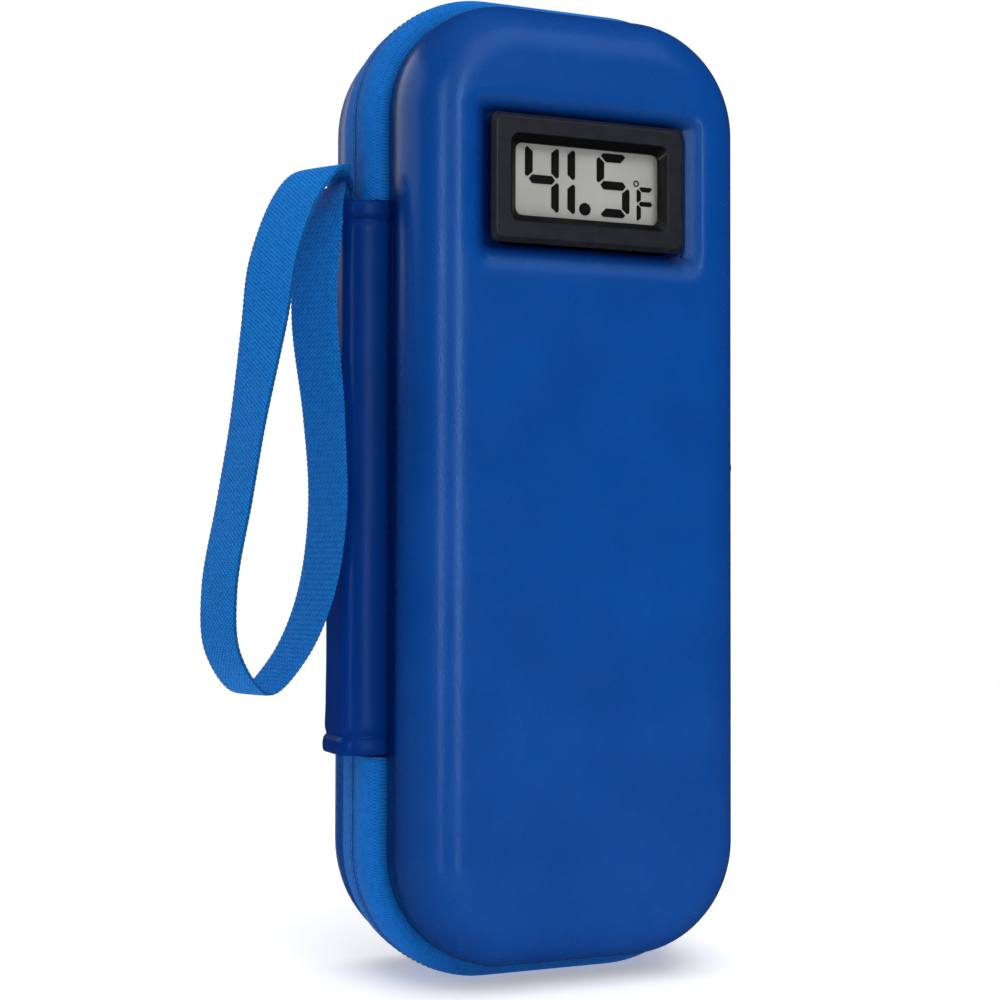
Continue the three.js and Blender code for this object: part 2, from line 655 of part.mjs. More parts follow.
// Slider, head end down, with the seam line at its middle; x is measured outwards from the tape.
function sliderGeometry() {
  const [l, w, tail] = [SLIDER_L / 2, SLIDER_W / 2, SLIDER_TAIL_W / 2];
  const c = SLIDER_PLATE;
  const outline = [
    [-tail + c, l], [tail - c, l], [tail, l - c], [w, -c], [w, -l + c], [w - c, -l],
    [-w + c, -l], [-w, -l + c], [-w, -c], [-tail, l - c],
  ];
  const inner = -(TAPE_T + FIT + COIL_T + FIT);
  const outer = FIT;
  const top = outer + SLIDER_PLATE;
  const lap = SLIDER_PLATE / 4;
  const neck = prismX(
    rect(-SLIDER_NECK_T / 2, -l + c, SLIDER_NECK_T / 2, -l + c + SLIDER_NECK_L),
    inner - lap,
    outer + lap,
  );
  const b = BRIDGE_L / 2;
  const [room, roof] = [top + BRIDGE_ROOM, top + BRIDGE_ROOM + BRIDGE_T];
  const bridge = prismY([
    [top - lap, -b], [room, -b], [roof, -b + BRIDGE_T], [roof, b - BRIDGE_T], [room, b], [top - lap, b],
    [top - lap, b - BRIDGE_T], [room, b - BRIDGE_T], [room, -b + BRIDGE_T], [top - lap, -b + BRIDGE_T],
  ], -BRIDGE_W / 2, BRIDGE_W / 2);
  return combine(prismX(outline, outer, top), [prismX(outline, inner - SLIDER_PLATE, inner), neck, bridge]);
}

// Pull tab: its eye's bar turns under the bridge, and the tab hangs down from it.
const pullPivotX = FIT + SLIDER_PLATE + BRIDGE_ROOM / 2;
const pullPivotZ = BRIDGE_L / 2 - BRIDGE_T - BRIDGE_ROOM / 2;

function pullGeometry() {
  const half = PULL_T / 2;
  const [eye, waist, tip] = [PULL_EYE_W / 2, PULL_WAIST_W / 2, PULL_TIP_W / 2];
  const waistZ = -PULL_EYE_L - 3 * PULL_T;
  const outline = [
    [-eye + half, half], [eye - half, half], [eye, 0], [eye, -PULL_EYE_L], [waist, waistZ],
    ...arc(0, -PULL_L + tip, tip, tip, 0, -180, 10), [-waist, waistZ], [-eye, -PULL_EYE_L], [-eye, 0],
  ];
  const hole = BRIDGE_W / 2 + FIT;
  return combine(prismX(outline, -half, half), [], [
    prismX(rect(-hole, -PULL_EYE_L, hole, -half), -PULL_T, PULL_T),
    prismX(arc(0, -PULL_L + tip, tip / 2, tip / 2, 0, 330, 11), -PULL_T, PULL_T),
  ]);
}

// Gel pack: two films welded at the edge over a flat pillow.
function gelPack(w, h, z, y0, y1) {
  const middle = (y0 + y1) / 2;
  const weld = PACK_WELD / 2;
  const bulge = (y1 - y0) / 2 - weld;
  const pillow = arc(PACK_EDGE + PACK_ROUND, weld, PACK_ROUND, bulge, 90, 180, PACK_STEPS);
  const half = [...pillow, [0, weld]];
  const sections = [...half, ...half.map(([inset, y]) => [inset, -y]).reverse()];
  return loft(sections.map(([inset, y]) => (
    rounded(w - 2 * inset, h - 2 * inset, PACK_CORNER - inset / 2, middle + y, 0, z, 4)
  )));
}

const panel = (inset, y0, y1) => loft([y0, y1].map((y) => caseOutline(inset, y, INNER_STEPS)));
const frontRoom = linerInset(FRONT_INSET) + FIT;
const rearRoom = linerInset(REAR_INSET) + FIT;
const frontPackBack = linerFace(FRONT_DEPTH) - FIT - PACK_T;
const rearPackFront = linerFace(REAR_DEPTH) - FIT - PACK_T;
const pocketY = -(frontPackBack - FIT - POCKET_T);
const boardY = rearPackFront - FIT - BOARD_PANEL_T;

function meshPocket() {
  const whole = panel(frontRoom, pocketY - POCKET_T, pocketY);
  return combine(whole, [], [prismZ(rect(-CASE_W, -CASE_W, CASE_W, CASE_W), POCKET_TOP, CASE_H)]);
}

function pocketBinding() {
  const half = CASE_W / 2 - frontRoom;
  const y = pocketY - POCKET_T / 2;
  return prismZ(
    rect(-half, y - BINDING_T / 2, half, y + BINDING_T / 2),
    POCKET_TOP + FIT,
    POCKET_TOP + FIT + BINDING_H,
  );
}

// Elastic band sewn down between its pen loops.
function elastic(z) {
  const half = CASE_W / 2 - rearRoom - 2 * ELASTIC_T;
  const n = ELASTIC_LOOPS * ELASTIC_STEPS;
  const path = Array.from({ length: n + 1 }, (_, k) => {
    const rise = ELASTIC_RISE * Math.sin((Math.PI * k) / ELASTIC_STEPS) ** 2;
    return [-half + (2 * half * k) / n, boardY - FIT - rise];
  });
  return prismZ(strip(path, ELASTIC_T), z - ELASTIC_H / 2, z + ELASTIC_H / 2);
}

// Assembly, in the frame whose origin is on the foot
const part = new THREE.Group();
const halves = new THREE.Group();
halves.position.y = SEAM_Y;
part.add(halves);

function add(name, material, geometry, parent = halves) {
  const mesh = new THREE.Mesh(geometry, material);
  mesh.name = name;
  parent.add(mesh);
  return mesh;
}

add('rear_shell', skinBlue, caseTray(shellProfile(REAR_INSET, REAR_BAND, REAR_DEPTH), REAR));
add('rear_liner', foil, caseTray(linerProfile(REAR_INSET, REAR_BAND, REAR_DEPTH), REAR, INNER_STEPS));
add('rear_tape', tapeBlue, tape(REAR, REAR_INSET, REAR_BAND, REAR_DEPTH));
add('rear_coil', coilBlue, coil(REAR));
add('spine_rear', spineBlue, spineLeaf(REAR, REAR_INSET, REAR_BAND));
add('strap_tails', webBlue, strapTails());
add('wrist_strap', webBlue, wristStrap());

add('front_shell', skinBlue, frontShell());
add('front_liner', foil, frontLiner());
add('front_tape', tapeBlue, tape(FRONT, FRONT_INSET, FRONT_BAND, FRONT_DEPTH));
add('front_coil', coilBlue, coil(FRONT));
add('spine_front', spineBlue, spineLeaf(FRONT, FRONT_INSET, FRONT_BAND));

add('display_housing', bezelBlack, displayHousing());
add('display_window', clear, displayWindow());
add('lcd_panel', lcdGrey, lcdPanel());
add('contact_strip', rubberBlack, contactStrip());
add('circuit_board', boardGreen, circuitBoard());
add('button_cell_left', steel, buttonCell(-1));
add('button_cell_right', steel, buttonCell(1));
add('cell_contact', steel, cellContact());
add('housing_cover', bezelBlack, housingCover());
add('battery_door', bezelBlack, batteryDoor());
add('unit_button', rubberBlack, unitButton());
add('probe_gland', rubberBlack, probeGland());

// The two sliders meet head to head; the lower one is turned over end for end.
for (const [name, up] of [['upper', 1], ['lower', -1]]) {
  const seat = new THREE.Group();
  seat.position.set(CASE_W / 2, 0, SLIDER_MEET_Z + up * (SLIDER_L + FIT) / 2);
  halves.add(seat);
  const slider = add(`${name}_slider`, zinc, sliderGeometry(), seat);
  slider.rotation.x = up > 0 ? 0 : Math.PI;
  const pull = add(`${name}_pull`, zinc, pullGeometry(), seat);
  pull.position.set(pullPivotX, 0, up * pullPivotZ);
  pull.rotation.y = up > 0 ? THREE.MathUtils.degToRad(-PULL_LEAN) : 0;
}

const packFoot = linerInset(FRONT_INSET) + FRONT_PACK_UP;
const packH = POCKET_TOP - FRONT_PACK_DOWN - packFoot;
add('front_gel_pack', gelBlue, gelPack(FRONT_PACK_W, packH, packFoot + packH / 2, -(frontPackBack + PACK_T), -frontPackBack));
add('mesh_pocket', netBlack, meshPocket());
add('pocket_binding', elasticBlack, pocketBinding());
add('rear_gel_pack', gelBlue, gelPack(REAR_PACK_W, CASE_H - 2 * REAR_PACK_ENDS, MID_Z, rearPackFront, rearPackFront + PACK_T));
add('pen_board', netBlack, panel(rearRoom, boardY, boardY + BOARD_PANEL_T));
add('lower_elastic', elasticBlack, elastic(ELASTIC_LOW_Z));
add('upper_elastic', elasticBlack, elastic(CASE_H - ELASTIC_HEAD));

export default part;
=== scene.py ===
# %% [markdown]
# # A zip-up insulin cooling case
# This lesson dresses a case that was drawn as plain solids: two moulded shells, a zipper, a
# hinge spine, a wrist strap and a thermometer. The solids are loaded first and stay as they
# are. Each soft or moulded piece is then modelled again with the detail that the eye expects.

# %% Load the frame
import math

import bmesh
import bpy
from mathutils import Matrix, Vector


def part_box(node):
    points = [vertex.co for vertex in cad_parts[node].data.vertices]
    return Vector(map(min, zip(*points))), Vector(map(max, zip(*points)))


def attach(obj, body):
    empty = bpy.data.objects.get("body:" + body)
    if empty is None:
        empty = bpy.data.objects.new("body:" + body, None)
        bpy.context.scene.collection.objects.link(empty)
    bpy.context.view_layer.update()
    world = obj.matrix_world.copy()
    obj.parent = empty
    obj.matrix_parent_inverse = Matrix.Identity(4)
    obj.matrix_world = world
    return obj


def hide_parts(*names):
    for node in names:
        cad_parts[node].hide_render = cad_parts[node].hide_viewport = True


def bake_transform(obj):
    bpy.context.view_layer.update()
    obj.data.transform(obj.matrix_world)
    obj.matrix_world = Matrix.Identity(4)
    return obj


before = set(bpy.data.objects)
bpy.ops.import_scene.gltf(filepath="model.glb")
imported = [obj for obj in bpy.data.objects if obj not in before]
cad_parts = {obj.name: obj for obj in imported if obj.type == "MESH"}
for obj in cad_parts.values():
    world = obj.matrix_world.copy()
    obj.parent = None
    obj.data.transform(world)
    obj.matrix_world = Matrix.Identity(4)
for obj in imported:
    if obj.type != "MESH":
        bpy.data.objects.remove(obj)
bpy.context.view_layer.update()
MM = 0.001
TINY = 0.02 * MM

# %% [markdown]
# The camera comes before the pieces, so that every piece can be judged in the same picture.
# It stands a little to the left of the case, low, and looks up by about a degree. Its place
# is worked out from two angles, a distance and the point that it looks at.

# %% Camera
VIEW_TURN = math.radians(24.04)
VIEW_RISE = math.radians(1.43)
VIEW_ROLL = math.radians(0.13)
VIEW_DISTANCE = 446.5 * MM
VIEW_AIM = Vector((-10.2, -2.6, 108.8)) * MM
VIEW_LENS = 69.1

forward = Vector((
    math.sin(VIEW_TURN) * math.cos(VIEW_RISE),
    math.cos(VIEW_TURN) * math.cos(VIEW_RISE),
    math.sin(VIEW_RISE),
))
level = Vector((math.cos(VIEW_TURN), -math.sin(VIEW_TURN), 0))
upward = level.cross(forward)
right = level * math.cos(VIEW_ROLL) + upward * math.sin(VIEW_ROLL)
top = upward * math.cos(VIEW_ROLL) - level * math.sin(VIEW_ROLL)

lens = bpy.data.cameras.new("camera")
lens.lens = VIEW_LENS
lens.clip_start = 0.01
camera = bpy.data.objects.new("camera", lens)
bpy.context.collection.objects.link(camera)
turned = Matrix((right, top, -forward)).transposed().to_4x4()
camera.matrix_world = Matrix.Translation(VIEW_AIM - forward * VIEW_DISTANCE) @ turned
bpy.context.scene.camera = camera
print("camera at", [round(c / MM, 1) for c in camera.matrix_world.translation], "mm")

# %% [markdown]
# Modelling by hand means: add a primitive, go into edit mode, pick some faces or edges, and
# use an operator on them. These short helpers do the picking by place or direction, which is
# what a click does on the screen.

# %% Helpers for modelling


def rest():
    """Object mode, with nothing selected."""
    if bpy.context.object and bpy.context.object.mode == "EDIT":
        bpy.ops.object.mode_set(mode="OBJECT")
    bpy.ops.object.select_all(action="DESELECT")


def take(piece):
    """One piece selected and active."""
    rest()
    piece.select_set(True)
    bpy.context.view_layer.objects.active = piece


def edit(piece):
    """One piece in edit mode, with all its points picked."""
    take(piece)
    bpy.ops.object.mode_set(mode="EDIT")
    bpy.ops.mesh.select_mode(type="VERT")
    bpy.ops.mesh.select_all(action="SELECT")


def begin(name, primitive, **settings):
    """A primitive at its size and place, in edit mode."""
    rest()
    primitive(**settings)
    piece = bpy.context.object
    piece.name = name
    piece.data.name = name
    bpy.ops.object.transform_apply(location=True, rotation=True, scale=True)
    bpy.ops.object.mode_set(mode="EDIT")
    return piece


def choose(piece, kind, test):
    """Picks the vertices, edges or faces that pass a test."""
    bpy.ops.mesh.select_mode(type=kind)
    bpy.ops.mesh.select_all(action="DESELECT")
    mesh = bmesh.from_edit_mesh(piece.data)
    mesh.normal_update()
    for part in {"VERT": mesh.verts, "EDGE": mesh.edges, "FACE": mesh.faces}[kind]:
        if test(part):
            part.select_set(True)
    bmesh.update_edit_mesh(piece.data)


def draw(step):
    """Draws out what is picked."""
    bpy.ops.mesh.extrude_region_move(TRANSFORM_OT_translate={"value": step})


def merge():
    """Joins points that lie on each other."""
    bpy.ops.mesh.select_all(action="SELECT")
    bpy.ops.mesh.remove_doubles(threshold=TINY / 4)


def face_out():
    """Turns all faces outwards."""
    bpy.ops.mesh.select_all(action="SELECT")
    bpy.ops.mesh.normals_make_consistent(inside=False)


def join(pieces):
    """Several pieces made one, which is the first of them."""
    rest()
    for piece in pieces:
        piece.select_set(True)
    bpy.context.view_layer.objects.active = pieces[0]
    bpy.ops.object.join()
    return pieces[0]


def apply(piece, kind, **settings):
    """One modifier, set and applied."""
    take(piece)
    modifier = piece.modifiers.new(kind.lower(), kind)
    for key, value in settings.items():
        setattr(modifier, key, value)
    bpy.ops.object.modifier_apply(modifier=modifier.name)


def smooth(piece, angle=40):
    take(piece)
    bpy.ops.object.shade_smooth_by_angle(angle=math.radians(angle))


def settle(piece, body, slot, material, *nodes):
    """The piece gets its finish, rides on its body and stands for its solids."""
    rest()
    piece.data.materials.clear()
    piece.data.materials.append(material)
    if body:
        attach(piece, body)
    if nodes:
        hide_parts(*nodes)
    print(piece.name, "has", len(piece.data.polygons), "faces")
    return piece


# %% [markdown]
# Every finish is a small tree of nodes. The colours are written as they look on a screen and
# turned into the linear light that the shader counts in.

# %% Helpers for finishes


def screen(red, green, blue):
    """A colour as seen on a screen, from 0 to 255, as linear light."""
    def linear(c):
        c /= 255
        return c / 12.92 if c <= 0.04045 else ((c + 0.055) / 1.055) ** 2.4
    return (linear(red), linear(green), linear(blue), 1)


class Finish:
    """A material whose nodes are added and linked by short calls."""

    def __init__(self, name, colour, roughness, **sockets):
        self.material = bpy.data.materials.new(name)
        self.material.use_nodes = True
        self.tree = self.material.node_tree
        self.shader = self.tree.nodes["Principled BSDF"]
        self.shader.inputs["Base Color"].default_value = colour
        self.shader.inputs["Roughness"].default_value = roughness
        for key, value in sockets.items():
            self.shader.inputs[key.replace("_", " ")].default_value = value

    def node(self, kind, settings=None, **links):
        node = self.tree.nodes.new(kind)
        for key, value in (settings or {}).items():
            setattr(node, key, value)
        for key, value in links.items():
            socket = node.inputs[int(key[1:])] if key[1:].isdigit() else node.inputs[key.replace("_", " ")]
            if isinstance(value, bpy.types.NodeSocket):
                self.tree.links.new(value, socket)
            else:
                socket.default_value = value
        return node

    def place(self, scale=(1, 1, 1), uv=None):
        """Object coordinates, or a UV map, with a scale for each axis."""
        source = self.node("ShaderNodeUVMap", {"uv_map": uv}) if uv else self.node("ShaderNodeTexCoord")
        point = source.outputs["UV" if uv else "Object"]
        return self.node("ShaderNodeMapping", Vector=point, Scale=scale).outputs["Vector"]

    def noise(self, point, scale, detail=2):
        return self.node("ShaderNodeTexNoise", Vector=point, Scale=scale, Detail=detail).outputs[0]

    def cells(self, point, scale, feature="F1"):
        node = self.node("ShaderNodeTexVoronoi", {"feature": feature}, Vector=point, Scale=scale)
        return node.outputs["Distance"]

    def wave(self, point, scale, direction):
        settings = {"wave_type": "BANDS", "bands_direction": direction, "wave_profile": "SIN"}
        return self.node("ShaderNodeTexWave", settings, Vector=point, Scale=scale).outputs["Fac"]

    def math(self, operation, a, b):
        return self.node("ShaderNodeMath", {"operation": operation}, _0=a, _1=b).outputs[0]

    def mix(self, a, share, b, other):
        """A sum of two values, each with its share."""
        return self.math("ADD", self.math("MULTIPLY", a, share), self.math("MULTIPLY", b, other))

    def span(self, value, low, high):
        return self.node("ShaderNodeMapRange", Value=value, To_Min=low, To_Max=high).outputs["Result"]

    def tint(self, value, *stops):
        """A colour ramp on the base colour: stops are (place, colour)."""
        ramp = self.node("ShaderNodeValToRGB", Fac=value)
        points = ramp.color_ramp.elements
        for index, (place, colour) in enumerate(stops):
            point = points[index] if index < 2 else points.new(place)
            point.position = place
            point.color = colour
        self.tree.links.new(ramp.outputs["Color"], self.shader.inputs["Base Color"])

    def rough(self, value):
        self.tree.links.new(value, self.shader.inputs["Roughness"])

    def bump(self, height, distance):
        """Another layer of relief, in metres, over those that are there."""
        normal = self.shader.inputs["Normal"]
        node = self.node("ShaderNodeBump", Height=height, Distance=distance, Strength=1)
        if normal.links:
            self.tree.links.new(normal.links[0].from_socket, node.inputs["Normal"])
        self.tree.links.new(node.outputs["Normal"], normal)


# %% [markdown]
# The moulded skin is synthetic leather over foam. Its grain is a net of tiny pebbles, about
# half a millimetre across, and the skin is a little uneven in colour and gloss. The pebbles
# come from a Voronoi texture, which draws cells as leather does. Shade is painted into the
# skin where it meets the tape and round the bezel; a number kept at each point says how dark.

# %% Moulded skin and spine finishes
# Colour of the painted shade at the tape's edge and round the bezel.
PAINTED_SHADE_COLOUR = screen(0, 12, 70)


def leather(name, dark, mid, light, grain, depth, gloss, shine):
    finish = Finish(name, mid, 0.45, Specular_IOR_Level=shine, Specular_Tint=(0.5, 0.78, 1, 1))
    point = finish.place()
    finish.tint(finish.noise(point, 38, 3), (0.25, dark), (0.5, mid), (0.78, light))
    # Painted shade: the skin's colour is mixed towards a dark blue by a number kept at each point.
    tucked = finish.node("ShaderNodeAttribute", {"attribute_name": "tucked"}).outputs["Fac"]
    plain = finish.shader.inputs["Base Color"].links[0].from_socket
    deep = finish.node("ShaderNodeMix", {"data_type": "RGBA"}, _0=tucked, _6=plain, _7=PAINTED_SHADE_COLOUR)
    finish.tree.links.new(deep.outputs[2], finish.shader.inputs["Base Color"])
    finish.rough(finish.span(finish.noise(point, 160, 3), gloss - 0.06, gloss + 0.08))
    finish.bump(finish.cells(point, grain), depth)
    finish.bump(finish.noise(point, grain * 0.35, 3), depth * 0.6)
    return finish.material


shell_skin = leather(
    "shell_skin", screen(2, 64, 142), screen(4, 69, 149), screen(7, 74, 156), 2100, 0.018 * MM, 0.26, 0.3
)
# The spine's skin is the shell's leather painted darker, as painted shade on a side that faces away from the
# light, and with less shine.
spine_skin = leather(
    "spine_skin", screen(0, 38, 106), screen(1, 43, 115), screen(2, 49, 124), 2600, 0.01 * MM, 0.22, 0.08
)

# %% [markdown]
# Zipper tape and webbing are woven, and their pattern follows the cloth round every corner.
# Each such piece therefore gets a UV map in metres: how far along the cloth, and how far
# across it. The weave is made of two sets of fine bands that cross.

# %% Woven finishes


def woven(name, dark, light, pitch, lean, depth, roughness):
    finish = Finish(name, light, roughness, Sheen_Weight=0.02, Sheen_Roughness=0.45, Specular_IOR_Level=0.1)
    along = finish.place((1 / pitch, 1 / pitch, 1), "cloth")
    angle = math.radians(lean)
    turn = finish.node("ShaderNodeVectorRotate", {"rotation_type": "Z_AXIS"}, Vector=along, Angle=angle)
    yarn, cross = (finish.wave(turn.outputs[0], 0.32, way) for way in "XY")
    weave = finish.math("MAXIMUM", finish.math("MULTIPLY", yarn, 0.9), cross)
    worn = finish.noise(finish.place(), 900, 3)
    finish.tint(finish.mix(weave, 0.6, worn, 0.55), (0.2, dark), (0.85, light))
    finish.bump(weave, depth)
    finish.bump(worn, depth)
    return finish.material


tape_cloth = woven("tape_cloth", screen(3, 72, 153), screen(13, 114, 204), 0.55 * MM, 45, 0.1 * MM, 0.78)
strap_cloth = woven("strap_cloth", screen(1, 64, 140), screen(5, 119, 204), 0.72 * MM, 52, 0.14 * MM, 0.68)

thread = Finish("thread", screen(6, 66, 142), 0.7, Sheen_Weight=0.2)
thread.bump(thread.wave(thread.place(), 900, "DIAGONAL"), 0.04 * MM)
stitch_thread = thread.material

# %% [markdown]
# The outline of the case is a tall rectangle with round corners. The zipper's tapes, coils
# and stitches all follow it, so one function tells how far along the outline a point lies.

# %% Outline of the case
CORNER_R = 30 * MM
FIT = 0.3 * MM
tape_low, tape_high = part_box("rear_tape")
CASE_W = tape_high.x - tape_low.x
CASE_H = tape_high.z - tape_low.z
SEAM_Y = (tape_low.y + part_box("front_tape")[1].y) / 2
SIDE = CASE_W / 2 - CORNER_R
QUARTER = CORNER_R * math.pi / 2
UPRIGHT = CASE_H / 2 - CORNER_R


def rim_run(x, z):
    """Length of outline from the middle of the left side, clockwise, to the place of a point."""
    out, up = abs(x) - SIDE, abs(z - CASE_H / 2) - UPRIGHT
    run = UPRIGHT + up
    if up > 0:
        run = UPRIGHT + (CORNER_R * math.atan2(up, out) if out > 0 else QUARTER - out)
    half = 2 * (UPRIGHT + QUARTER + SIDE)
    if z >= CASE_H / 2:
        return run if x < 0 else half - run
    return half + run if x >= 0 else 2 * half - run


print("case", round(CASE_W / MM, 1), "x", round(CASE_H / MM, 1), "seam at y", round(SEAM_Y / MM, 2))

# %% [markdown]
# Each shell half starts as a box. Bevelling its four corner edges rounds the outline, and
# bevelling the rim of its face gives the wide round that a moulded shell has. The open side
# is deleted, and Solidify turns the skin into a wall.

# %% Moulded trays
CORNER_SEGMENTS = 20
FILLET_SEGMENTS = 14
RING_CUTS = 5


def level_at(edge, y):
    """Whether an edge lies at one depth."""
    return all(abs(v.co.y - y) < TINY for v in edge.verts)


def pick_face(piece, side):
    """Picks a tray's flat face, which has many corners."""
    choose(piece, "FACE", lambda f: f.normal.y * side > 0.99 and len(f.verts) > 8)


def tray(name, low, high, corner, fillet, mouth):
    """Open tray; mouth is the way that its open side faces along Y."""
    size = high - low
    piece = begin(name, bpy.ops.mesh.primitive_cube_add, size=1, location=(low + high) / 2, scale=size)
    choose(piece, "EDGE", lambda e: abs(e.verts[0].co.y - e.verts[1].co.y) > size.y / 2)
    bpy.ops.mesh.bevel(offset=corner, segments=CORNER_SEGMENTS, clamp_overlap=False)
    choose(piece, "FACE", lambda f: f.normal.y * mouth > 0.5)
    bpy.ops.mesh.delete(type="ONLY_FACE")
    face_y = low.y if mouth > 0 else high.y
    choose(piece, "EDGE", lambda e: level_at(e, face_y))
    bpy.ops.mesh.bevel(offset=fillet, segments=FILLET_SEGMENTS, clamp_overlap=False)
    return piece, face_y


def open_face(piece, face_y, side, width, height, corner, centre_z):
    """Swaps the flat face for a ring of faces round a rounded rectangle, which is left picked."""
    pick_face(piece, side)
    bpy.ops.mesh.inset(thickness=FIT)
    bpy.ops.mesh.delete(type="ONLY_FACE")
    middle = (0, face_y, centre_z)
    bpy.ops.mesh.primitive_plane_add(size=1, location=middle, rotation=(math.radians(-90 * side), 0, 0))
    bpy.ops.transform.resize(value=(width, 1, height), center_override=middle)
    bpy.ops.mesh.bevel(affect="VERTICES", offset=corner, segments=CORNER_SEGMENTS, clamp_overlap=False)
    choose(piece, "EDGE", lambda e: len(e.link_faces) == 1 and level_at(e, face_y))
    bpy.ops.mesh.bridge_edge_loops(number_cuts=RING_CUTS, interpolation="LINEAR")
    pick_face(piece, side)


def wall(piece, thickness, rim_y, roll):
    """Gives the skin its thickness and rolls the rim's edges."""
    edit(piece)
    merge()
    face_out()
    apply(piece, "SOLIDIFY", thickness=thickness, offset=-1)
    edit(piece)
    choose(piece, "EDGE", lambda e: level_at(e, rim_y) and e.calc_face_angle(0) > 1)
    bpy.ops.mesh.bevel(offset=roll, segments=3, clamp_overlap=False)
    smooth(piece)


# %% [markdown]
# The lid's face has a soft hollow for the thermometer. It is wider than the flat of the face
# and runs out on the rounded sides, so an inset alone can't give it. The face is opened to a
# ring of close rows, the sides are cut into rows by bisecting, and then every point near the
# thermometer sinks by a smooth function of its distance. Under the bezel the hollow is deep,
# which gives the gap round the bezel some real shade; painted shade in the skin darkens it more.

# %% Lid skin
SHELL_T = 3.6 * MM
FACE_FILLET = 12.5 * MM
RIM_ROUND = 1.6 * MM
RING_SIDE = 3.6 * MM
RING_TOP = 4.6 * MM
RING_R = 8.5 * MM
RING_RUN = 3.3 * MM
RING_STEPS = 12
BODY_ROOM = 1.0 * MM
ROWS, ROW_STEP, ROWS_BELOW = 32, 1.6 * MM, 10 * MM

lid_low, lid_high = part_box("front_shell")
gauge_low, gauge_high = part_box("display_housing")
gauge_z = (gauge_low.z + gauge_high.z) / 2
bezel_w = 48 * MM
bezel_h = gauge_high.z - gauge_low.z
lid_inset = lid_low.z - tape_low.z
lid_skin, lid_face = tray("lid_skin", lid_low, lid_high, CORNER_R - lid_inset, FACE_FILLET, 1)
open_face(lid_skin, lid_face, -1, bezel_w + 2 * RING_SIDE, bezel_h + 2 * RING_TOP, RING_R, gauge_z)
for step in range(RING_STEPS):
    bpy.ops.mesh.inset(thickness=RING_RUN / RING_STEPS)
bpy.ops.mesh.inset(thickness=BODY_ROOM)
bpy.ops.mesh.delete(type="ONLY_FACE")
for row in range(ROWS):
    bpy.ops.mesh.select_all(action="SELECT")
    cut = gauge_low.z - ROWS_BELOW + row * ROW_STEP
    bpy.ops.mesh.bisect(plane_co=(0, 0, cut), plane_no=(0, 0, 1))
rest()
print("lid skin has", len(lid_skin.data.vertices), "points before it is moved")

# %% [markdown]
# The points move next. The hollow's depth falls off smoothly from the bezel's edge, faster above
# it than below. Only the outside of the wall is hollow: its inside is pressed flat again, because
# the lining lies there.

# %% Hollow for the thermometer
HOLLOW_DROP = 3.2 * MM
HOLLOW_FLAT = 0.06
HOLLOW_SIDE = 6.2 * MM
HOLLOW_UP = 4.8 * MM
HOLLOW_DOWN = 6.8 * MM
FACE_BACK = 13 * MM


def hollow(x, z):
    """Depth of the hollow at a place on the face."""
    across = max(abs(x) - bezel_w / 2, 0) / HOLLOW_SIDE
    up = max(z - gauge_high.z, 0) / HOLLOW_UP
    down = max(gauge_low.z - z, 0) / HOLLOW_DOWN
    t = (math.hypot(across, up + down) - HOLLOW_FLAT) / (1 - HOLLOW_FLAT)
    t = min(1, max(0, t))
    return HOLLOW_DROP * (1 - t) ** 1.7 * (1 + 0.3 * t)


def inside_hollow(v):
    """Whether a point is on the wall's inside, behind the hollow."""
    return inner_y - TINY < v.co.y < inner_y + HOLLOW_DROP + TINY and hollow(v.co.x, v.co.z) > 0


for vertex in lid_skin.data.vertices:
    if vertex.co.y < lid_face + FACE_BACK:
        vertex.co.y += hollow(vertex.co.x, vertex.co.z)
wall(lid_skin, SHELL_T, lid_high.y, RIM_ROUND)
inner_y = lid_face + SHELL_T
edit(lid_skin)
choose(lid_skin, "VERT", inside_hollow)
bpy.ops.transform.resize(value=(1, 0, 1), center_override=(0, inner_y, 0))
rest()
print("hollow is", round(HOLLOW_DROP / MM, 1), "mm deep")

# %% [markdown]
# Shade is painted into the skin at the zipper's tape, less and less over the round side, and in
# the gap round the bezel. How dark is kept at each point, from 0 to 1, for the finish to read.
# A few close rows beside the tape hold the sharp change there.

# %% Painted shade on the lid skin
SHADE_RUN = 16 * MM
SHADE_EDGE = 1.4 * MM
SHADE_ROWS = (0, 0.8, 1.6, 2.6, 4)
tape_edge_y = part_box("front_tape")[0].y
edit(lid_skin)
for run in SHADE_ROWS:
    bpy.ops.mesh.select_all(action="SELECT")
    bpy.ops.mesh.bisect(plane_co=(0, tape_edge_y - run * MM, 0), plane_no=(0, 1, 0))
smooth(lid_skin)
# Painted shade: darkest at the tape's edge and fading over the round side, and dark in the deep hollow round
# the bezel.
tucked = lid_skin.data.attributes.new("tucked", "FLOAT", "POINT")
for vertex, mark in zip(lid_skin.data.vertices, tucked.data):
    away = max(0, tape_edge_y - vertex.co.y)
    seam = 0.45 * max(0, 1 - away / SHADE_RUN) ** 1.2 + 0.5 * math.exp(-(away / SHADE_EDGE) ** 2)
    gap = 0.9 * (hollow(vertex.co.x, vertex.co.z) / HOLLOW_DROP) ** 1.5
    mark.value = max(seam, gap)
print("tape ends", round((lid_high.y - tape_edge_y) / MM, 2), "mm over the lid's rim")
settle(lid_skin, "lid", "shell_skin", shell_skin, "front_shell")

# %% [markdown]
# The base is the plain sister of the lid: the same kind of tray, a little wider and with an
# unbroken face.

# %% Base skin
FACE_HOLD = 1 * MM
base_low, base_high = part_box("rear_shell")
base_inset = base_low.z - tape_low.z
base_skin, _ = tray("base_skin", base_low, base_high, CORNER_R - base_inset, FACE_FILLET, -1)
pick_face(base_skin, 1)
bpy.ops.mesh.inset(thickness=FACE_HOLD)
wall(base_skin, SHELL_T, base_low.y, RIM_ROUND)
settle(base_skin, "base", "shell_skin", shell_skin, "rear_shell")

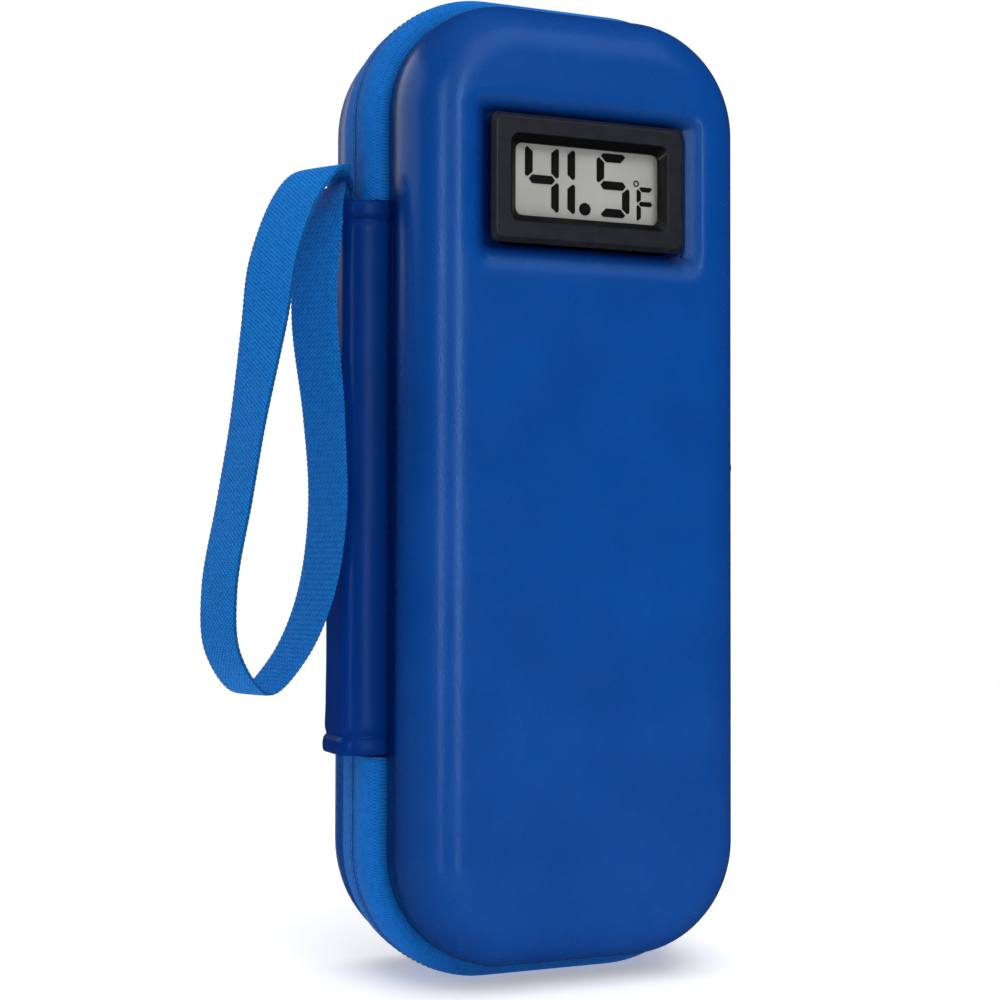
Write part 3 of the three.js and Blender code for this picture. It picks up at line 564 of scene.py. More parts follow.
# %% [markdown]
# A zipper tape has the same section all the way round. A tailor's strip like this is made
# from one wire, the section, which is drawn straight along the sides and spun through a
# quarter turn at each corner. It starts and ends at the spine.

# %% Zipper tapes
TAPE_T = 1.2 * MM
SEAM_GAP = 1.1 * MM
TAPE_DIP = 1.0 * MM
TAPE_CROWN = 3.0 * MM
TAPE_STEPS = 8
spine_low, spine_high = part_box("spine_rear")


def wire(name, points):
    """A row of edges through some points, drawn out from one vertex."""
    piece = begin(name, bpy.ops.mesh.primitive_plane_add, size=MM, location=points[0])
    bpy.ops.mesh.select_mode(type="VERT")
    bpy.ops.mesh.select_all(action="SELECT")
    bpy.ops.mesh.merge(type="CENTER")
    for here, there in zip(points, points[1:]):
        draw(there - here)
    bpy.ops.mesh.select_all(action="SELECT")
    return piece


def round_the_case(bottom, head):
    """Draws the picked wire from the spine's head, clockwise, to the spine's foot."""
    high, quarter = CASE_H - CORNER_R, math.pi / 2
    centres = [(-SIDE, high), (SIDE, high), (SIDE, CORNER_R), (-SIDE, CORNER_R)]
    runs = [(0, high - head), (2 * SIDE, 0), (0, 2 * CORNER_R - CASE_H), (-2 * SIDE, 0)]
    for (x, z), (cx, cz) in zip(runs, centres):
        draw((x, 0, z))
        bpy.ops.mesh.spin(steps=CORNER_SEGMENTS, angle=quarter, center=(cx, SEAM_Y, cz), axis=(0, -1, 0))
    draw((0, 0, bottom - CORNER_R))


def cloth_map(piece, points):
    """A UV map in metres: for each point of the piece, its place on the cloth."""
    layer = piece.data.uv_layers.new(name="cloth")
    for loop in piece.data.loops:
        layer.data[loop.index].uv = points[loop.vertex_index]


def zipper_tape(name, side, band, inset):
    """Side is -1 for the lid and 1 for the base."""
    start, edge = SEAM_GAP / 2, band - TAPE_DIP
    bend = [(t / TAPE_STEPS) * math.pi / 2 for t in range(TAPE_STEPS + 1)]
    section = [(0, start), (0, (start + TAPE_CROWN) / 2)]
    for a in bend:
        section.append(((inset - FIT) * (1 - math.cos(a)), TAPE_CROWN + (edge - TAPE_CROWN) * math.sin(a)))
    section.append((inset + SHELL_T, edge))
    head = spine_high.z + FIT
    piece = wire(name, [Vector((-CASE_W / 2 + i, SEAM_Y + side * d, head)) for i, d in section])
    round_the_case(spine_low.z - FIT, head)
    merge()
    face_out()
    rest()
    cloth_map(piece, [(rim_run(v.co.x, v.co.z), abs(v.co.y - SEAM_Y)) for v in piece.data.vertices])
    apply(piece, "SOLIDIFY", thickness=TAPE_T, offset=-1)
    smooth(piece, 50)
    return piece


lid_band, base_band = SEAM_Y - lid_high.y, base_low.y - SEAM_Y
lid_tape = zipper_tape("lid_tape", -1, lid_band, lid_inset)
base_tape = zipper_tape("base_tape", 1, base_band, base_inset)
settle(lid_tape, "lid", "zipper_tape", tape_cloth, "front_tape")
settle(base_tape, "base", "zipper_tape", tape_cloth, "rear_tape")

# %% [markdown]
# A row of stitches runs along each tape, close to the slit. One stitch is a short, low bar
# with rounded ends. It is modelled once, and copies of its mesh are set along the outline.

# %% Zipper stitches
STITCH_L = 0.95 * MM
STITCH_W = 0.34 * MM
STITCH_PITCH = 1.4 * MM
STITCH_IN = 1.5 * MM
STITCH_CLEAR = 2 * MM


def one_stitch(name, length, width):
    """A flat bar with round ends, along X, standing on Z = 0."""
    piece = begin(name, bpy.ops.mesh.primitive_cube_add, size=1, scale=(length, width, width / 2))
    choose(piece, "EDGE", lambda e: abs(e.verts[0].co.z - e.verts[1].co.z) > TINY)
    bpy.ops.mesh.bevel(offset=width * 0.45, segments=2, clamp_overlap=False)
    choose(piece, "FACE", lambda f: f.normal.z > 0.9)
    bpy.ops.mesh.inset(thickness=width * 0.22, depth=width * 0.15)
    rest()
    return piece


def along_rim(run, depth, proud):
    """Place and turn of something on the zipper band, at a run from the left side's middle."""
    stretches = [UPRIGHT, QUARTER, 2 * SIDE, QUARTER, 2 * UPRIGHT, QUARTER, 2 * SIDE, QUARTER, UPRIGHT]
    heading = math.pi / 2
    here = Vector((-CASE_W / 2, CASE_H / 2))
    for number, length in enumerate(stretches):
        part = min(run, length)
        if number % 2:
            turn = part / CORNER_R
            centre = here + CORNER_R * Vector((math.sin(heading), -math.cos(heading)))
            heading -= turn
            here = centre - CORNER_R * Vector((math.sin(heading), -math.cos(heading)))
        else:
            here = here + part * Vector((math.cos(heading), math.sin(heading)))
        run -= part
        if run <= 0:
            break
    ahead = Vector((math.cos(heading), 0, math.sin(heading)))
    out = Vector((-math.sin(heading), 0, math.cos(heading)))
    at = Vector((here.x, SEAM_Y + depth, here.y)) + out * proud
    return Matrix.Translation(at) @ Matrix((ahead, out.cross(ahead), out)).transposed().to_4x4()


def scatter(name, model, places):
    """One piece made of copies of a model, each with its own mesh, and the model deleted."""
    mesh = bmesh.new()
    for place in places:
        copy = model.data.copy()
        copy.transform(place)
        mesh.from_mesh(copy)
        bpy.data.meshes.remove(copy)
    bpy.data.objects.remove(model)
    data = bpy.data.meshes.new(name)
    mesh.to_mesh(data)
    mesh.free()
    piece = bpy.data.objects.new(name, data)
    bpy.context.collection.objects.link(piece)
    return piece


first_run = rim_run(-CASE_W / 2, spine_high.z + STITCH_CLEAR)
last_run = rim_run(-CASE_W / 2, spine_low.z - STITCH_CLEAR)
stitches = range(int((last_run - first_run) / STITCH_PITCH) + 1)
for side, name, body in ((-1, "lid_stitches", "lid"), (1, "base_stitches", "base")):
    places = [along_rim(first_run + STITCH_PITCH * k, side * STITCH_IN, TINY) for k in stitches]
    row = scatter(name, one_stitch("stitch", STITCH_L, STITCH_W), places)
    smooth(row)
    settle(row, body, "zipper_tape", stitch_thread)

# %% [markdown]
# The spine is one piece of smooth leather that covers the hinge. Its section bulges out from
# the lid's rim to the base's rim. At each end the leather is folded into a hem, and a sewn
# line pulls it in above the fold. It bends where the lid turns.

# %% Hinge spine
SPINE_T = 1.2 * MM
SPINE_FLAT = 4.6 * MM
SPINE_TURNS = 12
HEM_STAND = 0.7 * MM
crest_x = spine_low.x + HEM_STAND


def spine_section(side, band, inset):
    """Half of the bulge, from the flat crest to a shell's rim."""
    edge_x = -CASE_W / 2 + inset - FIT
    reach = band - FIT - SPINE_FLAT
    turns = [(k / SPINE_TURNS) * math.pi / 2 for k in range(SPINE_TURNS + 1)]
    return [
        Vector((
            edge_x - (edge_x - crest_x) * math.cos(a),
            SEAM_Y + side * (SPINE_FLAT + reach * math.sin(a)),
            spine_low.z,
        ))
        for a in turns
    ]


flange = [
    Vector((-CASE_W / 2 + inset + SHELL_T, SEAM_Y + side * (band - FIT), spine_low.z))
    for side, band, inset in ((-1, lid_band, lid_inset), (1, base_band, base_inset))
]
section = flange[:1] + spine_section(-1, lid_band, lid_inset)[::-1]
section += [Vector((crest_x, SEAM_Y + t * SPINE_FLAT, spine_low.z)) for t in (-0.6, -0.2, 0.2, 0.6)]
section += spine_section(1, base_band, base_inset) + flange[1:]
print("spine section has", len(section), "points")

# %% [markdown]
# The section is drawn upwards in rows, which are close together at the hems. Then each row is
# moved off the plain section, out for the fold and in for the sewn line. Slow waves and one
# subdivision give it the look of leather that has been handled.

# %% Hinge spine cover
# Height above the hem's outer edge, and how far the leather stands off its plain section there.
HEM_ROWS = [
    (0, 0.0), (0.35, 0.5), (1.2, 0.68), (2.8, 0.62), (3.7, 0.3),
    (4.2, -0.35), (4.7, -0.1), (5.6, 0.2), (7.5, 0.15),
]
PLAIN_ROWS, PLAIN_GAP = 34, 3 * MM
WAVE_SIZE, WAVE_HEIGHT = 24 * MM, 0.4 * MM
spine_h = spine_high.z - spine_low.z
rows = [(h * MM, off * MM) for h, off in HEM_ROWS]
plain_low, plain_high = rows[-1][0] + PLAIN_GAP, spine_h - rows[-1][0] - PLAIN_GAP
rows += [(plain_low + (plain_high - plain_low) * k / (PLAIN_ROWS - 1), 0) for k in range(PLAIN_ROWS)]
rows += [(spine_h - h * MM, off * MM) for h, off in reversed(HEM_ROWS)]
spine_cover = wire("spine_cover", section)
for (here, _), (there, _) in zip(rows, rows[1:]):
    draw((0, 0, there - here))
face_out()
choose(spine_cover, "FACE", lambda f: abs(f.calc_center_median().y - SEAM_Y) < MM)
if sum(f.normal.x for f in bmesh.from_edit_mesh(spine_cover.data).faces if f.select) > 0:
    bpy.ops.mesh.select_all(action="SELECT")
    bpy.ops.mesh.flip_normals()
for height, off in rows:
    if off:
        choose(spine_cover, "VERT", lambda v: abs(v.co.z - spine_low.z - height) < TINY)
        bpy.ops.transform.shrink_fatten(value=off)
rest()
soft = bpy.data.textures.new("leather_waves", "CLOUDS")
soft.noise_scale = WAVE_SIZE
apply(spine_cover, "DISPLACE", texture=soft, texture_coords="LOCAL", strength=WAVE_HEIGHT, mid_level=0.5)
apply(spine_cover, "SOLIDIFY", thickness=SPINE_T, offset=-1)
apply(spine_cover, "SUBSURF", levels=1, render_levels=1)
smooth(spine_cover, 60)
settle(spine_cover, None, "spine_skin", spine_skin, "spine_front", "spine_rear")
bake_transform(spine_cover)

# %% [markdown]
# The wrist strap is flat webbing. Its two ends are sewn under the spine's top hem. From there
# it rises, turns over and hangs as a loop. A flat strip is laid along a smooth line, and the
# cross ribs of the weave are real ridges on the side that faces into the loop.

# %% Wrist strap line
STRAP_W = 12 * MM
STRAP_T = 0.8 * MM
STRAP_TURN = math.radians(25)
# Share of the free length, and how far the webbing is turned there, in degrees.
STRAP_TWIST = [
    (0, 0), (0.075, 44), (0.15, 44), (0.31, 22), (0.55, 22), (0.72, 27), (0.86, 38), (0.92, 38), (1, 0),
]
STRAP_FORWARD = 4.6 * MM
STRAP_EASE = 5 * MM
TAIL_H = 15 * MM
REACH = 38
DROP = 108
CURVE_STEPS = 40
tail_low, tail_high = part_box("strap_tails")
root = Vector(((tail_low.x + tail_high.x) / 2, SEAM_Y, spine_high.z))
# Outwards from the root, and up from it, in millimetres.
STRAP_LINE = [
    (-0.5, -15), (-0.5, -7), (-0.5, 0.3), (-0.3, 3.4), (2.4, 6.2), (9, 5.6), (15.6, -0.6),
    (0.59 * REACH, -0.14 * DROP), (0.66 * REACH, -0.27 * DROP), (0.76 * REACH, -0.44 * DROP),
    (0.87 * REACH, -0.62 * DROP), (0.98 * REACH, -0.8 * DROP), (0.95 * REACH, -0.92 * DROP),
    (0.73 * REACH, -DROP),
    (0.47 * REACH, -0.94 * DROP), (0.26 * REACH, -0.82 * DROP), (0.16 * REACH, -0.65 * DROP),
    (0.19 * REACH, -0.45 * DROP), (0.27 * REACH, -0.25 * DROP),
    (9.6, -13), (7, -2.2), (3.2, 3.1), (1.1, 2.4), (0.5, 0.3), (0.5, -7), (0.5, -15),
]


def smooth_line(points, steps):
    """Points evenly spaced on a centripetal Catmull-Rom curve."""
    ends = [2 * points[0] - points[1], *points, 2 * points[-1] - points[-2]]
    fine = []
    for a, b, c, d in zip(ends, ends[1:], ends[2:], ends[3:]):
        t0 = 0
        t1 = t0 + (b - a).length ** 0.5
        t2 = t1 + (c - b).length ** 0.5
        t3 = t2 + (d - c).length ** 0.5
        for k in range(CURVE_STEPS):
            t = t1 + (t2 - t1) * k / CURVE_STEPS
            p = a.lerp(b, t / t1)
            q = b.lerp(c, (t - t1) / (t2 - t1))
            r = c.lerp(d, (t - t2) / (t3 - t2))
            u = p.lerp(q, t / t2)
            v = q.lerp(r, (t - t1) / (t3 - t1))
            fine.append(u.lerp(v, (t - t1) / (t2 - t1)))
    fine.append(points[-1])
    runs = [0.0]
    for a, b in zip(fine, fine[1:]):
        runs.append(runs[-1] + (b - a).length)
    line, at = [], 0
    for k in range(steps + 1):
        want = runs[-1] * k / steps
        while at < len(runs) - 2 and runs[at + 1] < want:
            at += 1
        line.append(fine[at].lerp(fine[at + 1], (want - runs[at]) / (runs[at + 1] - runs[at])))
    return line, runs[-1]


flat_line = [Vector((u * MM, 0, z * MM)) for u, z in STRAP_LINE]
_, strap_length = smooth_line(flat_line, 10)
RIB_PITCH = 1.2 * MM
RIB_STEPS = 4
strap_steps = RIB_STEPS * round(strap_length / RIB_PITCH)
strap_line, _ = smooth_line(flat_line, strap_steps)
print("strap is", round(strap_length / MM), "mm long")

# %% [markdown]
# The strip is a fine grid, rolled into a thin, closed section with a front and a back. The
# webbing turns about its own line, so that its flat side shows beside the case.

# %% Wrist strap webbing
ACROSS = [-1, -0.93, -0.75, -0.4, 0, 0.4, 0.75, 0.93, 1]
RIB_HEIGHT = 0.16 * MM
strap = begin(
    "wrist_loop", bpy.ops.mesh.primitive_grid_add, size=1,
    x_subdivisions=strap_steps, y_subdivisions=2 * len(ACROSS) - 2,
)
rest()
out_axis = Vector((-math.cos(STRAP_TURN), -math.sin(STRAP_TURN), 0))
lap = [(t, 1) for t in ACROSS] + [(t, -1) for t in reversed(ACROSS[1:-1])] + [(ACROSS[0], 1)]


def twist_at(share):
    """Turn of the webbing at a share of its free length."""
    for (a, low), (b, high) in zip(STRAP_TWIST, STRAP_TWIST[1:]):
        if share <= b:
            t = max(0, share - a) / (b - a)
            return math.radians(low + (high - low) * t * t * (3 - 2 * t))
    return 0


def on_strap(k, number):
    """Place of one corner of the strip: k steps along, and a number round its section."""
    centre = strap_line[k]
    ahead = strap_line[min(k + 1, strap_steps)] - strap_line[max(k - 1, 0)]
    twist = twist_at((k / strap_steps * strap_length - TAIL_H) / (strap_length - 2 * TAIL_H))
    across = Vector((-math.sin(twist), math.cos(twist), 0))
    tangent = (out_axis * ahead.x + Vector((0, 0, ahead.z))).normalized()
    thick = tangent.cross(across).normalized()
    t, face = lap[number]
    edge = max(0, 1 - abs(t)) ** 0.5
    half = STRAP_T / 2 * (0.45 + 0.55 * min(1, 1.6 * edge))
    rib = math.sin(2 * math.pi * k / RIB_STEPS + 0.8)
    half += RIB_HEIGHT * rib * (1 if face > 0 else 0.25) * min(1, 3 * edge)
    side = STRAP_W / 2 * t * (1 + 0.012 * rib * abs(t) ** 6)
    ease = min(1, max(0, centre.x - 0.5 * MM) / STRAP_EASE)
    front = (STRAP_FORWARD - out_axis.y * centre.x) * ease * ease * (3 - 2 * ease)
    return root + Vector((out_axis.x * centre.x, -front, centre.z)) + across * side + thick * face * half


around = len(lap)
corners = []
for vertex in strap.data.vertices:
    k = round((vertex.co.x + 0.5) * strap_steps)
    number = round((vertex.co.y + 0.5) * (around - 1))
    t, face = lap[number]
    corners.append((strap_length * k / strap_steps, STRAP_W / 2 * t + (0 if face > 0 else 2 * STRAP_W)))
    vertex.co = on_strap(k, number)
cloth_map(strap, corners)
edit(strap)
merge()
choose(strap, "EDGE", lambda e: len(e.link_faces) == 1)
bpy.ops.mesh.fill_holes(sides=0)
face_out()
smooth(strap, 60)
settle(strap, None, "webbing", strap_cloth, "wrist_strap", "strap_tails")
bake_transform(strap)

# %% [markdown]
# The thermometer's rigid pieces have the right shape already, but their edges are knife
# sharp. A copy of each solid is merged and its flat faces are joined, so that a small bevel
# can run along every real edge. That bevel is what catches the light on moulded plastic.

# %% Thermometer finishes


def moulded(name, colour, worn, roughness, grain, depth):
    """Hard plastic or rubber: an even colour, faint mottling and a fine spark-eroded grain."""
    finish = Finish(name, colour, roughness, Specular_IOR_Level=0.3)
    point = finish.place()
    finish.tint(finish.noise(point, 420, 3), (0.3, colour), (0.75, worn))
    finish.rough(finish.span(finish.noise(point, 900, 2), roughness - 0.07, roughness + 0.09))
    finish.bump(finish.noise(point, grain, 2), depth)
    return finish.material


bezel_plastic = moulded("bezel_plastic", screen(22, 23, 30), screen(31, 33, 40), 0.4, 5200, 0.02 * MM)
black_rubber = moulded("black_rubber", screen(20, 20, 22), screen(32, 32, 34), 0.72, 3800, 0.03 * MM)

steel = Finish("steel", screen(196, 197, 196), 0.3, Metallic=1.0)
brushed = steel.noise(steel.place((1, 60, 1)), 700, 2)
steel.rough(steel.span(brushed, 0.2, 0.42))
steel.bump(brushed, 0.004 * MM)

glass = Finish("window", (0.01, 0.01, 0.01, 1), 0.05, Alpha=0.05, IOR=1.49)
glass.rough(glass.span(glass.noise(glass.place(), 260, 2), 0.03, 0.09))

LCD_GREY = screen(172, 173, 169)
# The panel also glows faintly in its own grey: painted light that evens out the shade the bezel's mouth casts
# on it.
lcd = Finish("lcd", LCD_GREY, 0.34, Specular_IOR_Level=0.15, Emission_Color=LCD_GREY, Emission_Strength=0.12)
lcd.tint(lcd.noise(lcd.place((1, 1, 0.6)), 90, 2), (0.3, screen(170, 171, 167)), (0.7, screen(180, 181, 177)))
ink = Finish("lcd_ink", screen(9, 9, 11), 0.4, Specular_IOR_Level=0.2)
ink.rough(ink.span(ink.noise(ink.place(), 800, 2), 0.34, 0.46))

board = Finish("board", screen(18, 84, 52), 0.38)
tracks = board.cells(board.place((1, 1, 1.6)), 620, "DISTANCE_TO_EDGE")
board.tint(tracks, (0.02, screen(14, 70, 44)), (0.09, screen(30, 108, 68)), (0.4, screen(18, 84, 52)))
board.bump(board.math("LESS_THAN", tracks, 0.06), 0.03 * MM)

# %% [markdown]
# The softened copies take the place of the solids. The mouth of the bezel gets a darker finish
# of its own on its faces, which paints the shade inside the mouth. Pieces that lie deep inside
# stay as they are and only get a finish.

# %% Thermometer pieces
MOUTH_SIDE, MOUTH_TOP = 4.25 * MM, 4.35 * MM


def soften(node, name, bevel, segments=2, angle=34):
    """A copy of a solid whose real edges are rounded."""
    piece = bpy.data.objects.new(name, bpy.data.objects[node].data.copy())
    bpy.context.collection.objects.link(piece)
    edit(piece)
    merge()
    bpy.ops.mesh.dissolve_limited(angle_limit=math.radians(1))
    rest()
    apply(
        piece, "BEVEL", width=bevel, segments=segments, limit_method="ANGLE", angle_limit=math.radians(angle),
        use_clamp_overlap=True, harden_normals=False,
    )
    smooth(piece, 30)
    apply(piece, "WEIGHTED_NORMAL", mode="FACE_AREA", weight=100, keep_sharp=True)
    return piece


gauge_frame = soften("display_housing", "gauge_frame", 0.22 * MM, 3)
settle(gauge_frame, "lid", "bezel", bezel_plastic, "display_housing")
# Painted shade: the faces of the bezel's mouth get a near-black finish for the shade inside it.
mouth_black = moulded("mouth_black", screen(5, 5, 8), screen(11, 11, 15), 0.32, 2000, 0.01 * MM)
gauge_frame.data.materials.append(mouth_black)
mouth_w, mouth_h = bezel_w / 2 - MOUTH_SIDE, bezel_h / 2 - MOUTH_TOP
for face in gauge_frame.data.polygons:
    corners = [gauge_frame.data.vertices[k].co for k in face.vertices]
    if all(abs(p.x) < mouth_w and abs(p.z - gauge_z) < mouth_h for p in corners):
        face.material_index = 1
for node, name, bevel, body, slot, material in (
    ("housing_cover", "gauge_back", 0.15, "lid", "bezel", bezel_plastic),
    ("battery_door", "battery_lid", 0.15, "door", "bezel", bezel_plastic),
    ("unit_button", "unit_key", 0.18, "button", "black_rubber", black_rubber),
    ("probe_gland", "lead_gland", 0.18, "lid", "black_rubber", black_rubber),
    ("button_cell_left", "cell_left", 0.2, "lid", "steel", steel.material),
    ("button_cell_right", "cell_right", 0.2, "lid", "steel", steel.material),
):
    settle(soften(node, name, bevel * MM), body, slot, material, node)
kept = {
    "display_window": glass.material, "lcd_panel": lcd.material, "circuit_board": board.material,
    "cell_contact": steel.material, "contact_strip": black_rubber,
}
for node, material in kept.items():
    bpy.data.objects[node].data.materials.clear()
    bpy.data.objects[node].data.materials.append(material)

# %% [markdown]
# The reading is drawn with the bars of a seven-segment display. Each bar is a flat plate with
# slanted ends, a tenth of a millimetre thick, on the glass of the panel. One function knows
# the outlines of the seven bars in a cell of any size, and the letter is a smaller cell.

# %% Reading on the panel
INK_T = 0.1 * MM
lcd_low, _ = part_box("lcd_panel")
PANEL_W, PANEL_H = 35.6 * MM, 16 * MM
panel_left, panel_top = -PANEL_W / 2 + 0.7 * MM, gauge_z + PANEL_H / 2 + 0.7 * MM


def bars(left, up, width, height, upright, level, letters):
    """Outlines of some of the seven bars, a to g, as lists of points on the panel."""
    u, v, mid, gap = upright, level, height / 2, 0.24 * upright

    def side(capped):
        start = 0.5 * u if capped else 0
        return [
            (0, start + 0.22 * u), (0.28 * u, start), (u, start + 0.58 * u),
            (u, mid - gap - 0.58 * u), (0.28 * u, mid - gap), (0, mid - gap - 0.22 * u),
        ]

    def turned(shape):
        return [(x, height - y) for x, y in shape]

    def mirrored(shape):
        return [(width - x, y) for x, y in shape]

    end = [(1.22 * u, v), (0.55 * u, 0.3 * v), (0.9 * u, 0)]
    tip = [(0.5 * u + 0.41 * v, mid + v / 2), (0.5 * u, mid), (0.5 * u + 0.41 * v, mid - v / 2)]
    upper, lower = side("a" in letters), turned(side("d" in letters))
    head, bridge = end + mirrored(end)[::-1], tip + mirrored(tip)[::-1]
    shapes = {
        "a": head, "b": mirrored(upper), "c": mirrored(lower), "d": turned(head),
        "e": lower, "f": upper, "g": bridge,
    }
    return [[Vector((left + x, lcd_low.y, up - y)) for x, y in shapes[name]] for name in letters]


def plate(outline):
    """A flat plate of ink from its outline."""
    piece = wire("plate", outline)
    bpy.ops.mesh.edge_face_add()
    draw((0, -INK_T, 0))
    face_out()
    rest()
    return piece


def disc(name, across, down, radius):
    """A round dot of ink."""
    place = (panel_left + across, lcd_low.y - INK_T / 2, panel_top - down)
    return begin(
        name, bpy.ops.mesh.primitive_cylinder_add, vertices=28, radius=radius, depth=INK_T, location=place,
        rotation=(math.radians(90), 0, 0),
    )


# %% [markdown]
# Three digits, the letter, the point and the small degree ring are set out on the panel and then
# joined to one piece of ink.

# %% Ink of the reading
DIGIT_W, DIGIT_H, DIGIT_UP, DIGIT_BAR, DIGIT_LEVEL = 8.35 * MM, 14.4 * MM, 0.9 * MM, 1.9 * MM, 1.95 * MM
outlines = []
for left, letters in ((2.44, "fgbc"), (6.48, "bc"), (20.24, "afgcd")):
    outlines += bars(
        panel_left + left * MM, panel_top - DIGIT_UP, DIGIT_W, DIGIT_H, DIGIT_BAR, DIGIT_LEVEL, letters
    )
LETTER_W, LETTER_H, LETTER_BAR = 4.6 * MM, 7.7 * MM, 1.1 * MM
outlines += bars(
    panel_left + 30.44 * MM, panel_top - 7.86 * MM, LETTER_W, LETTER_H, LETTER_BAR, LETTER_BAR, "afge"
)
plates = [plate(outline) for outline in outlines]
DOT_R, DEGREE_R, DEGREE_T = 1.45 * MM, 0.72 * MM, 0.3 * MM
plates.append(disc("point", 17.3 * MM, 13.94 * MM, DOT_R))
plates.append(disc("degree", 30.3 * MM, 7.15 * MM, DEGREE_R))
choose(plates[-1], "FACE", lambda f: abs(f.normal.y) > 0.9)
bpy.ops.mesh.inset(thickness=DEGREE_T)
bpy.ops.mesh.bridge_edge_loops()
reading = join(plates)
reading.name = "reading"
settle(reading, "lid", "lcd", ink.material)

# %% [markdown]
# The sliders and their pull tabs are cast zinc with a blue lacquer. They are softened in the
# same way, with a wider bevel, because a casting has no sharp edge at all.

# %% Sliders and pulls
lacquer = Finish("slider_paint", screen(16, 70, 150), 0.28, Metallic=0.25, Coat_Weight=0.5,
                 Coat_Roughness=0.12)
chips = lacquer.noise(lacquer.place(), 700, 4)
lacquer.tint(chips, (0.3, screen(12, 60, 136)), (0.62, screen(20, 78, 162)))
lacquer.bump(chips, 0.02 * MM)
for name in ("upper", "lower"):
    runner = soften(f"{name}_slider", f"{name}_runner", 0.3 * MM, 3, 40)
    settle(runner, f"{name}_runner", "slider_paint", lacquer.material, f"{name}_slider")
    tab = soften(f"{name}_pull", f"{name}_tab", 0.22 * MM, 3, 40)
    settle(tab, f"{name}_tab", "slider_paint", lacquer.material, f"{name}_pull")

# %% [markdown]
# The zipper's coil is one nylon thread wound into hundreds of loops behind each tape. One
# loop is a thin ring, flattened and leaned over, and its copies follow the outline closely. The
# loops of one coil lie between those of the other, as they do in a zipper that is shut. Only
# along the sliders' run are the coils a little apart.

# %% Zipper coils
COIL_R = 0.24 * MM
COIL_T = 1.5 * MM
COIL_LEAN = math.radians(78)
COIL_PITCH = 1.06 * MM
COIL_BITE = 0.55 * MM
COIL_CLEAR = 0.8 * MM
COIL_TUCK = 1.8 * MM
MESH_EASE = 8 * MM
ZIP_RUN = 60 * MM
nylon = Finish("zipper_coil", screen(16, 62, 140), 0.4, Subsurface_Weight=0.05)
nylon.tint(nylon.noise(nylon.place(), 500, 2), (0.3, screen(12, 54, 128)), (0.7, screen(20, 72, 154)))
nylon.bump(nylon.noise(nylon.place(), 2600, 2), 0.01 * MM)


coil_low, coil_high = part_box("rear_coil")
coil_y = (coil_low.y + coil_high.y) / 2 - SEAM_Y
coil_in = coil_low.z - tape_low.z + COIL_T / 2
coil_first = rim_run(-CASE_W / 2, spine_high.z + COIL_CLEAR)
coil_last = rim_run(-CASE_W / 2, spine_low.z + COIL_TUCK)
loop_count = round((coil_last - coil_first) / COIL_PITCH)
coil_pitch = (coil_last - coil_first) / loop_count
slide_low, slide_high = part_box("lower_slider")[0].z - ZIP_RUN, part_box("upper_slider")[1].z + ZIP_RUN


def one_loop():
    """A ring that stands across the tape, for a place whose Z points outwards."""
    deep = coil_high.y - coil_low.y
    piece = begin(
        "loop", bpy.ops.mesh.primitive_torus_add, major_segments=9, minor_segments=5,
        major_radius=deep / 2 - COIL_R, minor_radius=COIL_R, rotation=(0, COIL_LEAN, 0),
    )
    bpy.ops.transform.resize(value=(1, 1, COIL_T / deep), center_override=(0, 0, 0))
    rest()
    return piece


def loop_place(run, side):
    """The two coils mesh, except where the necks of the sliders pass between them."""
    spot = along_rim(run, 0, 0).translation
    beyond = max(slide_low - spot.z, spot.z - slide_high) if spot.x > 0 else MESH_EASE
    closed = min(1, max(0, beyond / MESH_EASE))
    return along_rim(run, side * (coil_y - closed * (coil_low.y - SEAM_Y + COIL_BITE)), -coil_in)


for side, name, body, node in ((-1, "lid_coil", "lid", "front_coil"), (1, "base_coil", "base", "rear_coil")):
    starts = [k + 0.5 for k in range(loop_count)] if side > 0 else range(loop_count + 1)
    row = scatter(name, one_loop(), [loop_place(coil_first + coil_pitch * k, side) for k in starts])
    smooth(row, 60)
    settle(row, body, "zipper_coil", nylon.material, node)

# %% [markdown]
# Inside, both halves are lined with foam under a silvery film. A lining is a smaller tray of
# the same kind. The film is creased all over, which a Voronoi texture gives: flat facets that
# meet at sharp lines. The lid's lining has a window for the body of the thermometer.

# %% Linings
LINER_T = 3 * MM
LINER_FILLET = 8.6 * MM
LINER_ROLL = 0.9 * MM
WINDOW_SIDE, WINDOW_ROOM, WINDOW_CORNER = 1 * MM, 3.4 * MM, 3 * MM
BODY_STEP = 2.6 * MM
film = Finish("foil_liner", screen(206, 208, 210), 0.3, Metallic=0.85)
film.rough(film.span(film.noise(film.place(), 320, 3), 0.22, 0.42))
film.tint(film.noise(film.place(), 60, 3), (0.3, screen(190, 193, 197)), (0.7, screen(216, 218, 219)))
film.bump(film.cells(film.place(), 170), 0.5 * MM)
film.bump(film.noise(film.place(), 700, 3), 0.06 * MM)

front_low, front_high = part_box("front_liner")
lining_in = front_low.z - tape_low.z
lid_lining, lining_face = tray("lid_lining", front_low, front_high, CORNER_R - lining_in, LINER_FILLET, 1)
window_w = gauge_high.x - gauge_low.x + 2 * WINDOW_SIDE
window_h = bezel_h - BODY_STEP + 2 * WINDOW_ROOM
open_face(lid_lining, lining_face, -1, window_w, window_h, WINDOW_CORNER, gauge_z)
bpy.ops.mesh.delete(type="ONLY_FACE")
wall(lid_lining, LINER_T, front_high.y, LINER_ROLL)
settle(lid_lining, "lid", "foil_liner", film.material, "front_liner")

rear_low, rear_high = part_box("rear_liner")
base_lining_in = rear_low.z - tape_low.z
base_lining, _ = tray("base_lining", rear_low, rear_high, CORNER_R - base_lining_in, LINER_FILLET, -1)
wall(base_lining, LINER_T, rear_low.y, LINER_ROLL)
settle(base_lining, "base", "foil_liner", film.material, "rear_liner")

